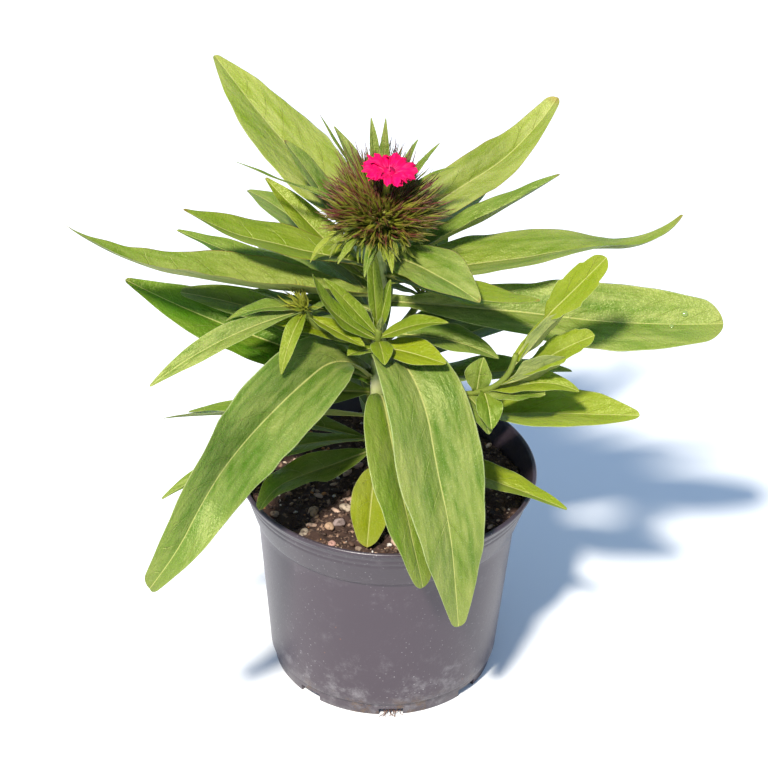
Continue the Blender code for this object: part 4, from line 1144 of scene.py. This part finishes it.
def add_soil_pieces():
    """The soil as one turned body with a rough top, its loose crumbs, and pebbles and long chips."""
    soil = settings().soil
    radius = float(pot_inner_radius(SOIL_LEVEL)) - 0.1
    rings = np.linspace(0.02, radius, SOIL_RINGS)
    sides = [(float(pot_inner_radius(height)) - 0.4, height) for height in SOIL_SIDES]
    profile = np.array([(ring, SOIL_LEVEL) for ring in rings] + sides + [(0.02, SOIL_SIDES[-1])])
    points, faces = spun(profile, np.arange(SOIL_SECTORS) * 2 * np.pi / SOIL_SECTORS)
    top = points[:, :len(rings)]
    top[..., 2] = soil_height(top[..., 0], top[..., 1])
    shape = Shape()
    shape.add(points, faces)
    shape.piece("soil_bed", soil_surface(), ["soil"])

    rng = np.random.default_rng(SEED + 1)
    x, y = soil_places(rng, soil.crumbs, radius - 1.5)
    size = rng.uniform(0.35, 1.15, soil.crumbs)
    size = size * rng.choice([0.7, 1.0, 1.5], soil.crumbs, p=[0.5, 0.4, 0.1])
    palette = np.array([soil.dark, CRUMB_BROWN, soil.light, CRUMB_WOOD, CRUMB_HUSK, CRUMB_BARK, CRUMB_GRIT])
    kind = rng.choice(len(palette), soil.crumbs, p=CRUMB_SHARES)
    points, faces = lumps(x, y, size, rng, 5, 4)
    shape = Shape()
    shape.add(points, faces, tone=palette[kind][:, None, None, :])
    chips = chip_surface()
    shape.piece("soil_crumbs", chips)

    shape = Shape()
    for x, y, size, colour in PEBBLES:
        points, faces = lumps(np.array([x]), np.array([y]), np.array([size]), rng, 16, 9)
        shape.add(points, faces, tone=colour)
    x, y = soil_places(rng, LONG_CHIPS, radius - 4)
    points, faces = lumps(x, y, rng.uniform(0.7, 1.3, LONG_CHIPS), rng, 8, 7, long=2.2)
    shape.add(points, faces, tone=CHIP)
    shape.piece("soil_pebbles", chips)


def lumps(x, y, size, rng, sides, steps, long=1.2):
    """Stones on the soil: a round body spun about a random axis, long times its width, dented by noise."""
    bodies = len(x)
    share = np.linspace(0.03, 0.97, steps)
    axis = unit(rng.normal(size=(bodies, 3)) * (1, 1, 0.6 / long))
    stretch = long * rng.uniform(0.75, 1.25, bodies)[:, None]
    middle = np.stack([x, y, soil_height(x, y) + 0.25 * size], -1)
    offset = -np.cos(np.pi * share)[None, :] * size[:, None] * stretch
    paths = middle[:, None, :] + axis[:, None, :] * offset[..., None]
    radii = np.sin(np.pi * share)[None, :] * size[:, None] * rng.uniform(0.8, 1.0, bodies)[:, None]
    points, faces = tubes(paths, radii, sides)
    away = points - middle[:, None, None, :]
    dents = 1 + 0.28 * smooth_noise(points, 1.3, 31) + 0.12 * smooth_noise(points, 0.6, 32)
    away[..., 2] *= 0.75
    return middle[:, None, None, :] + away * dents[..., None], faces


def add_stem_piece():
    """The main stem: a tube that swells where every leaf and side stalk leaves it."""
    height = np.linspace(STEM_FOOT, STEM_TOP + 3, 300)
    stalks = {float(stalk["start"][2]) for stalk in STALKS.values()}
    joints = np.array([row["height"] for row in LEAVES] + sorted(stalks, reverse=True))
    near = np.exp(-((height[:, None] - joints[None, :]) / JOINT_REACH) ** 2)
    radius = STEM_RADIUS + JOINT_SWELLING * np.clip(np.sum(near, axis=1), 0, 1)
    sway = 0.25 * np.sin(height / 17)
    path = np.stack([STEM_X + sway, 0.2 * np.sin(height / 23), height], -1)
    shape = Shape()
    points, faces = tubes(path[None], radius[None], 24)
    shape.add(points, faces)
    shape.piece("fine_stem", stem_surface(), ["main_stem"])


def add_leaf_pieces():
    """One fine blade for every large leaf, each standing for its own node."""
    leaves = settings().leaves
    surface = leaf_surface()
    for k, row in enumerate(LEAVES):
        shape = Shape()
        add_blade(shape, row, leaves.columns, leaves.spacing, LEAF_SEED + LEAF_SEED_STEP * k)
        shape.piece(row["name"].replace("leaf_", "") + "_blade", surface, [row["name"]])


def add_drop_pieces():
    """Two drops of water that lie on the big right leaf, each a low dome whose foot dips into the blade."""
    row = next(row for row in LEAVES if row["name"] == "leaf_big_right")
    seed = LEAF_SEED + LEAF_SEED_STEP * LEAVES.index(row)
    shape = Shape()
    for share, over, radius in DROPS:
        columns = np.array([[over - 0.05, over, over + 0.05]])
        sheet = blade(row, DROP_STEPS, columns, detail=1.0, seed=seed)[0]
        at = round(share * DROP_STEPS)
        normal = unit(np.cross(sheet[at + 1, 1] - sheet[at, 1], sheet[at, 2] - sheet[at, 1]))
        normal = normal * np.sign(normal[2])
        climb = np.linspace(-0.95, 0.98, 12)
        path = sheet[at, 1] + normal * (0.3 + 0.45 * radius * climb[:, None])
        points, faces = tubes(path[None], radius * np.sqrt(1 - climb ** 2)[None], 24)
        shape.add(points, faces)
    shape.piece("water_drops", drop_surface())


def add_shoot_pieces():
    """The side shoots: each stalk with its small leaves, and a tuft of young awls at the left one's end."""
    for name, stalk in STALKS.items():
        along = np.linspace(0, 1, 24)
        path = np.array([stalk_point(name, at) for at in along])
        radius = stalk["radius"] * (1 - 0.15 * along)
        shape = Shape()
        points, faces = tubes(path[None], radius[None], 12)
        share = 0.5 * along[None, :, None]
        shape.add(points, faces, lay=(9.0, 0.0, 0.4), mark=np.stack([0 * share, 0 * share + 0.4, share], -1),
                  tone=(0.7, 0.3, 0.0))
        for k, row in enumerate(SHOOT_LEAVES[name]):
            add_blade(shape, row, 12, 1.4, SHOOT_SEED + SMALL_SEED_STEP * k)
        shape.piece(name + "_leaves", shared("satin_leaf", leaf_surface), [name])
    add_tuft(stalk_point("left_shoot", 0.97), (-0.5, -0.25, 0.8), 13.0)


def add_tuft(eye, way, length):
    """A tuft of young green awls that fan out from a shoot's end."""
    rng = np.random.default_rng(SEED + 4)
    ways = unit(np.array(way) + 0.55 * rng.normal(size=(TUFT_AWLS, 3)))
    ends = eye + ways * length * rng.uniform(0.6, 1.0, (TUFT_AWLS, 1))
    shape = Shape()
    add_awls(shape, eye + ways, ends, (0.35, 0.6), rng, 0.1, 0.9)
    shape.piece("left_shoot_tuft", shared("bristly_awls", awl_surface))


def add_awls(shape, starts, ends, roots, rng, bend=0.06, green=0.0):
    """Adds slim awls from starts to ends: a little bent, swollen below their middle and sharp at the tip.

    roots holds the least and the greatest radius at the root. green is how far the tips stay green, one
    number or one for each.
    """
    roots = rng.uniform(*roots, len(starts))
    share = np.linspace(0, 1, 6)
    way = ends - starts
    side = unit(np.cross(way, rng.normal(size=way.shape)))
    sag = np.sin(np.pi * share)[None, :, None] * side[:, None, :]
    length = np.linalg.norm(way, axis=1)[:, None, None]
    paths = starts[:, None, :] + way[:, None, :] * share[None, :, None] + sag * length * bend
    taper = np.interp(share, [0, 0.25, 0.6, 1], [0.75, 1.0, 0.6, 0.06])
    points, faces = tubes(paths, roots[:, None] * taper[None, :], 4)
    lean = rng.uniform(0, 1, len(starts))
    green = np.broadcast_to(green, lean.shape)[:, None, None]
    marks = np.stack(np.broadcast_arrays(share[None, :, None], lean[:, None, None], green), -1)
    shape.add(points, faces, mark=marks)


def add_rays(shape, way, reach, roots, rng):
    """Adds awls that stand out from the head's eye along their ways, each as far as its reach."""
    eye = np.array(HEAD_EYE)
    add_awls(shape, eye + way * NEEDLE_ROOT, eye + way * reach, roots, rng)


def add_bud_awls(shape, rng):
    """A bunch of fine awls round each bud, greener and shorter low on the dome, and a stout one within."""
    rows = needle_rows()
    starts = np.array([row[0] for row in rows])
    ends = np.array([row[1] for row in rows])
    eye = np.array(HEAD_EYE)
    low = np.clip((0.22 - unit(ends - eye)[:, 2]) / 0.3, 0, 1)
    reach = np.linalg.norm(ends - eye, axis=1, keepdims=True)
    for k in range(settings().flower.awls):
        scatter = rng.normal(size=ends.shape) * (1.7 if k else 0.3)
        share = rng.uniform(0.68, 1.0, (len(ends), 1)) if k else 1.0
        tip = eye + unit(ends + scatter - eye) * reach * share * (1 - 0.3 * low[:, None])
        tip[:, 2] = np.maximum(tip[:, 2], ends[:, 2] - 2.5)
        root = starts + rng.normal(size=starts.shape) * 0.8
        add_awls(shape, root, tip, (0.45, 0.9), rng, green=low)
    share = rng.uniform(0.62, 0.8, (len(ends), 1))
    add_awls(shape, starts, eye + (ends - eye) * share, (0.9, 1.25), rng, 0.04, low)


def add_head_pieces():
    """The flower head: a small core, the buds' awls, more behind and round the bloom, and its calyx."""
    rng = np.random.default_rng(SEED + 2)
    eye = np.array(HEAD_EYE)
    axis = bloom_axis()
    shape = Shape()
    height = np.linspace(-1, 1, 16) * (CORE_HALF_HEIGHT - 0.2)
    radius = CORE_RADIUS * np.sqrt(np.clip(1 - (height / CORE_HALF_HEIGHT) ** 2, 0, 1))
    path = np.stack([STEM_X + 0 * height, 0 * height, CORE_MIDDLE + height], -1)
    points, faces = tubes(path[None], radius[None], 24)
    shape.add(points, faces, mark=(0.6, 0.3, 0.0))
    add_bud_awls(shape, rng)
    way = unit(rng.normal(size=(FILLING_AWLS, 3)) + (0, -0.2, 1.1))
    way = way[(way[:, 2] > -0.05) & (way @ axis < math.cos(math.radians(BLOOM_CONE)))]
    add_rays(shape, way, HEAD_REACH * rng.uniform(0.5, 0.8, (len(way), 1)), (0.45, 0.8), rng)
    way = unit(np.array((-0.1, 0.36, 0.85)) + rng.normal(size=(BACK_AWLS, 3)) * (0.34, 0.12, 0.1))
    add_rays(shape, way, HEAD_REACH * rng.uniform(0.7, 1.12, (len(way), 1)), (0.4, 0.7), rng)
    foot = eye + axis * 4
    top = np.array(BLOOM_CENTRE) - axis * (BLOOM_TUBE + 0.3)
    path = foot + (top - foot) * np.linspace(0, 1, 8)[:, None]
    points, faces = tubes(path[None], np.linspace(1.2, 1.3, 8)[None], 12)
    shape.add(points, faces, mark=(0.6, 0.4, 0.3))
    way = unit(axis + rng.normal(size=(BLOOM_AWLS, 3)) * 0.28)
    add_rays(shape, way, rng.uniform(12, 19, (len(way), 1)), (0.5, 0.8), rng)
    shape.piece("head_awls", shared("bristly_awls", awl_surface), ["flower_head"])
    add_bract_piece(rng)


def add_bract_piece(rng):
    """The head's bracts, and narrow straps that curl out from under it, all round and then more in front."""
    shape = Shape()
    for k, row in enumerate(HEAD_BRACTS):
        add_blade(shape, row, 8, 1.2, BRACT_SEED + SMALL_SEED_STEP * k)
    for k in range(STRAPS):
        turn = k * 360 / RING_STRAPS + rng.uniform(-5, 5) if k < RING_STRAPS else rng.uniform(-150, -70)
        height = rng.uniform(199.5, 206)
        length = rng.uniform(8, 16)
        rise = (rng.uniform(-25, 25), rng.uniform(-60, 10), rng.uniform(-110, 40))
        row = leaf("strap", height, turn, length, rng.uniform(0.9, 1.6), rise, off=rng.uniform(5, 12),
                   wave=0.1, swing=(0, rng.uniform(-60, 60)), yellow=rng.uniform(0.7, 1.0),
                   frost=rng.uniform(0.2, 0.8))
        add_blade(shape, row, 4, 1.3, STRAP_SEED + SMALL_SEED_STEP * k)
    shape.piece("head_bracts", shared("satin_leaf", leaf_surface))


def petal_sheet(index, steps, columns):
    """One petal round the bloom's axis: a fan whose edge is cut into fine teeth and ruffled.

    One side stands higher than the other, so that each petal laps over the next.
    """
    out = np.linspace(0, 1, steps + 1)[:, None]
    over = np.linspace(-1, 1, columns + 1)[None, :]
    half_angle = math.radians(PETAL_HALF_ANGLE) * (0.55 + 0.45 * out)
    turn = 2 * math.pi * index / BLOOM_PETALS + half_angle * over
    broad = 1 - 0.13 * np.abs((over * 2.5 + 0.5) % 1.0 - 0.5) * 2 - 0.05 * over ** 2
    fine = 0.1 * np.abs((over * 7.5 + 0.2 * index) % 1.0 - 0.5) * 2
    reach = PETAL_FOOT + (PETAL_REACH * (broad - fine * out) - PETAL_FOOT) * out
    height = 2.4 * np.sin(2.0 * out) + 0.7 * over * out - 0.7 * out ** 3
    height = height + 0.8 * np.sin(5 * over + index) * out ** 2
    height = height + 0.75 * np.sin(14 * over + 2 * index) * out ** 2
    height = height + 0.5 * np.sin(11 * out + 7 * over) * out
    points = np.stack([reach * np.cos(turn), reach * np.sin(turn), height], -1)
    return points, out, over


def add_bloom_pieces():
    """The open flower: five frilled petals, its tube and two curled styles."""
    facing = unit(bloom_axis() + np.array((0.0, 0.16, 0.0)))
    turn = np.array(Vector(facing).to_track_quat("Z", "Y").to_matrix())
    centre = np.array(BLOOM_CENTRE)
    shape = Shape()
    for index in range(BLOOM_PETALS):
        sheet, out, over = petal_sheet(index, 22, 64)
        normal = unit(np.cross(np.gradient(sheet, axis=0), np.gradient(sheet, axis=1)))
        thick = 0.26 - 0.1 * out[..., None]
        ring, faces = thin_body(sheet + normal * thick / 2, sheet - normal * thick / 2)
        marks = np.stack(np.broadcast_arrays(out, over, 0 * out + index), -1)
        shape.add(ring @ turn.T + centre, faces, mark=ring_rows(marks, marks))
    height = np.linspace(-BLOOM_TUBE, 1.2, 8)
    path = centre + bloom_axis() * height[:, None]
    points, faces = tubes(path[None], np.linspace(1.1, 2.2, 8)[None], 14)
    shape.add(points, faces, mark=(0.9, 0.3, 0.0))
    for side in (-1, 1):
        share = np.linspace(0, 1, 12)
        curl = np.stack([side * (0.3 + 1.6 * share ** 2), 0.8 * np.sin(2.5 * share) * side,
                         1.0 + 2.4 * share - 1.1 * share ** 3], -1)
        points, faces = tubes((curl @ turn.T + centre)[None], np.linspace(0.22, 0.1, 12)[None], 6)
        shape.add(points, faces, mark=(0.2, 0.1, 0.0))
    shape.piece("open_bloom", petal_surface(), ["bloom"])


def add_root_pieces():
    """Fine roots that hang out of the drain notches down to the floor."""
    rng = np.random.default_rng(SEED + 3)
    shape = Shape()
    for notch, count in ROOTS_IN_NOTCH.items():
        centre = math.radians(FIRST_NOTCH + 360 / NOTCHES * notch)
        for _ in range(count):
            turn = centre + rng.uniform(-0.08, 0.08)
            share = np.linspace(0, 1, 10)
            radius = FOOT_RADIUS - 2.1 + 3.2 * share ** 0.7 + rng.uniform(-0.4, 0.6)
            turns = turn + rng.uniform(-0.05, 0.05) * share + 0.012 * np.sin(6 * share + rng.uniform(0, 6))
            height = 2.6 * (1 - share) ** 1.5 + 0.25
            path = np.stack([radius * np.cos(turns), radius * np.sin(turns), height], -1)
            points, faces = tubes(path[None], np.linspace(0.2, 0.1, 10)[None], 5)
            shape.add(points, faces, tone=ROOT)
    shape.piece("drain_roots", chip_surface())


class SWEETWILLIAM_OT_pot(bpy.types.Operator):
    """Adds the nursery pot with its rim band, ledge and drain notches, and the roots in two of them"""

    bl_idname = "sweet_william.pot"
    bl_label = "Pot"
    bl_options = {"REGISTER", "UNDO"}

    def execute(self, context):
        add_pot_piece()
        add_root_pieces()
        return {"FINISHED"}


class SWEETWILLIAM_OT_soil(bpy.types.Operator):
    """Adds the soil, its crumbs and its pebbles"""

    bl_idname = "sweet_william.soil"
    bl_label = "Soil"
    bl_options = {"REGISTER", "UNDO"}

    def execute(self, context):
        add_soil_pieces()
        return {"FINISHED"}


class SWEETWILLIAM_OT_stem(bpy.types.Operator):
    """Adds the main stem"""

    bl_idname = "sweet_william.stem"
    bl_label = "Stem"
    bl_options = {"REGISTER", "UNDO"}

    def execute(self, context):
        add_stem_piece()
        return {"FINISHED"}


class SWEETWILLIAM_OT_leaves(bpy.types.Operator):
    """Adds the large leaves, and the drops of water on one"""

    bl_idname = "sweet_william.leaves"
    bl_label = "Leaves"
    bl_options = {"REGISTER", "UNDO"}

    def execute(self, context):
        add_leaf_pieces()
        add_drop_pieces()
        return {"FINISHED"}


class SWEETWILLIAM_OT_shoots(bpy.types.Operator):
    """Adds the side shoots"""

    bl_idname = "sweet_william.shoots"
    bl_label = "Side shoots"
    bl_options = {"REGISTER", "UNDO"}

    def execute(self, context):
        add_shoot_pieces()
        return {"FINISHED"}


class SWEETWILLIAM_OT_head(bpy.types.Operator):
    """Adds the flower head with its awls and bracts"""

    bl_idname = "sweet_william.head"
    bl_label = "Flower head"
    bl_options = {"REGISTER", "UNDO"}

    def execute(self, context):
        add_head_pieces()
        return {"FINISHED"}


class SWEETWILLIAM_OT_bloom(bpy.types.Operator):
    """Adds the open magenta flower"""

    bl_idname = "sweet_william.bloom"
    bl_label = "Bloom"
    bl_options = {"REGISTER", "UNDO"}

    def execute(self, context):
        add_bloom_pieces()
        return {"FINISHED"}


class SWEETWILLIAM_OT_stage(bpy.types.Operator):
    """Adds the pale floor, the soft light, the sky and the camera"""

    bl_idname = "sweet_william.stage"
    bl_label = "Floor, lights and camera"
    bl_options = {"REGISTER", "UNDO"}

    def execute(self, context):
        add_floor()
        add_lights()
        add_camera()
        return {"FINISHED"}


# Camera: its place in millimetres, how it is turned and its lens in millimetres
CAMERA_PLACE = (-2.36, -714.1, 592.2)
CAMERA_PITCH = 32.85
CAMERA_ROLL = 1.5
CAMERA_LENS = 101.5

# Key light: the way to it, its distance in metres and its colour; and the floor's reach in metres
KEY_DIRECTION = (-0.223, -0.552, 0.804)
KEY_DISTANCE = 4.0
KEY_COLOUR = (1.0, 0.96, 0.88)
FLOOR_REACH = 6.0


def add_floor():
    """A wide pale floor just under the pot."""
    mesh = bpy.data.meshes.new("floor")
    corners = [(x * FLOOR_REACH, y * FLOOR_REACH, 0) for x, y in ((-1, -1), (1, -1), (1, 1), (-1, 1))]
    mesh.from_pydata(corners, [], [(0, 1, 2, 3)])
    mesh.materials.append(floor_surface())
    floor = bpy.data.objects.new("floor", mesh)
    bpy.context.scene.collection.objects.link(floor)


def add_lights():
    """A soft key light from the front left, high up, and an even light blue sky."""
    stage = settings().stage
    way = Vector(KEY_DIRECTION).normalized()
    light = bpy.data.lights.new("key", "AREA")
    light.shape = "DISK"
    light.size = stage.key_size
    light.energy = stage.key_power
    light.color = KEY_COLOUR
    key = bpy.data.objects.new("key", light)
    key.location = way * KEY_DISTANCE
    key.rotation_mode = "QUATERNION"
    key.rotation_quaternion = way.to_track_quat("Z", "Y")
    bpy.context.scene.collection.objects.link(key)
    world = bpy.data.worlds.new("sky")
    world.use_nodes = True
    background = world.node_tree.nodes["Background"]
    background.inputs["Color"].default_value = (*stage.sky, 1.0)
    background.inputs["Strength"].default_value = stage.sky_strength
    bpy.context.scene.world = world


def add_camera():
    """The camera looks down at the plant from the front, a little rolled."""
    pitch = math.radians(CAMERA_PITCH)
    roll = math.radians(CAMERA_ROLL)
    forward = Vector((0, math.cos(pitch), -math.sin(pitch)))
    level = Vector((1, 0, 0))
    upright = level.cross(forward)
    right = level * math.cos(roll) + upright * math.sin(roll)
    up = right.cross(forward)
    data = bpy.data.cameras.new("camera")
    data.lens = CAMERA_LENS
    data.sensor_width = 36.0
    data.clip_start = 0.05
    data.clip_end = 30.0
    camera = bpy.data.objects.new("camera", data)
    camera.matrix_world = Matrix.Translation(Vector(CAMERA_PLACE) * MM) @ Matrix(
        (right, up, -forward)).transposed().to_4x4()
    bpy.context.scene.collection.objects.link(camera)
    bpy.context.scene.camera = camera
    bpy.context.scene.view_settings.view_transform = "Standard"


class SWEETWILLIAM_PT_panel(bpy.types.Panel):
    """Lists what the plant is made of"""

    bl_label = "Sweet William"
    bl_idname = "SWEETWILLIAM_PT_panel"
    bl_space_type = "VIEW_3D"
    bl_region_type = "UI"
    bl_category = "Sweet William"

    def draw(self, context):
        column = self.layout.column()
        for operator in OPERATORS:
            column.operator(operator.bl_idname)
        for part in SweetWilliamSettings.__annotations__:
            group = getattr(settings(), part)
            box = column.box()
            for name in group.__annotations__:
                box.prop(group, name)


OPERATORS = (SWEETWILLIAM_OT_pot, SWEETWILLIAM_OT_soil, SWEETWILLIAM_OT_stem, SWEETWILLIAM_OT_leaves,
             SWEETWILLIAM_OT_shoots, SWEETWILLIAM_OT_head, SWEETWILLIAM_OT_bloom, SWEETWILLIAM_OT_stage)
GROUPS = (PotSettings, SoilSettings, LeafSettings, FlowerSettings, StageSettings, SweetWilliamSettings)


def register():
    for made in GROUPS + OPERATORS + (SWEETWILLIAM_PT_panel,):
        bpy.utils.register_class(made)
    bpy.types.Scene.sweet_william = PointerProperty(type=SweetWilliamSettings)


def unregister():
    del bpy.types.Scene.sweet_william
    for made in reversed(GROUPS + OPERATORS + (SWEETWILLIAM_PT_panel,)):
        bpy.utils.unregister_class(made)


def main():
    register()
    bpy.ops.sweet_william.pot()
    bpy.ops.sweet_william.soil()
    bpy.ops.sweet_william.stem()
    bpy.ops.sweet_william.leaves()
    bpy.ops.sweet_william.shoots()
    bpy.ops.sweet_william.head()
    bpy.ops.sweet_william.bloom()
    bpy.ops.sweet_william.stage()


if __name__ == "__main__":
    main()
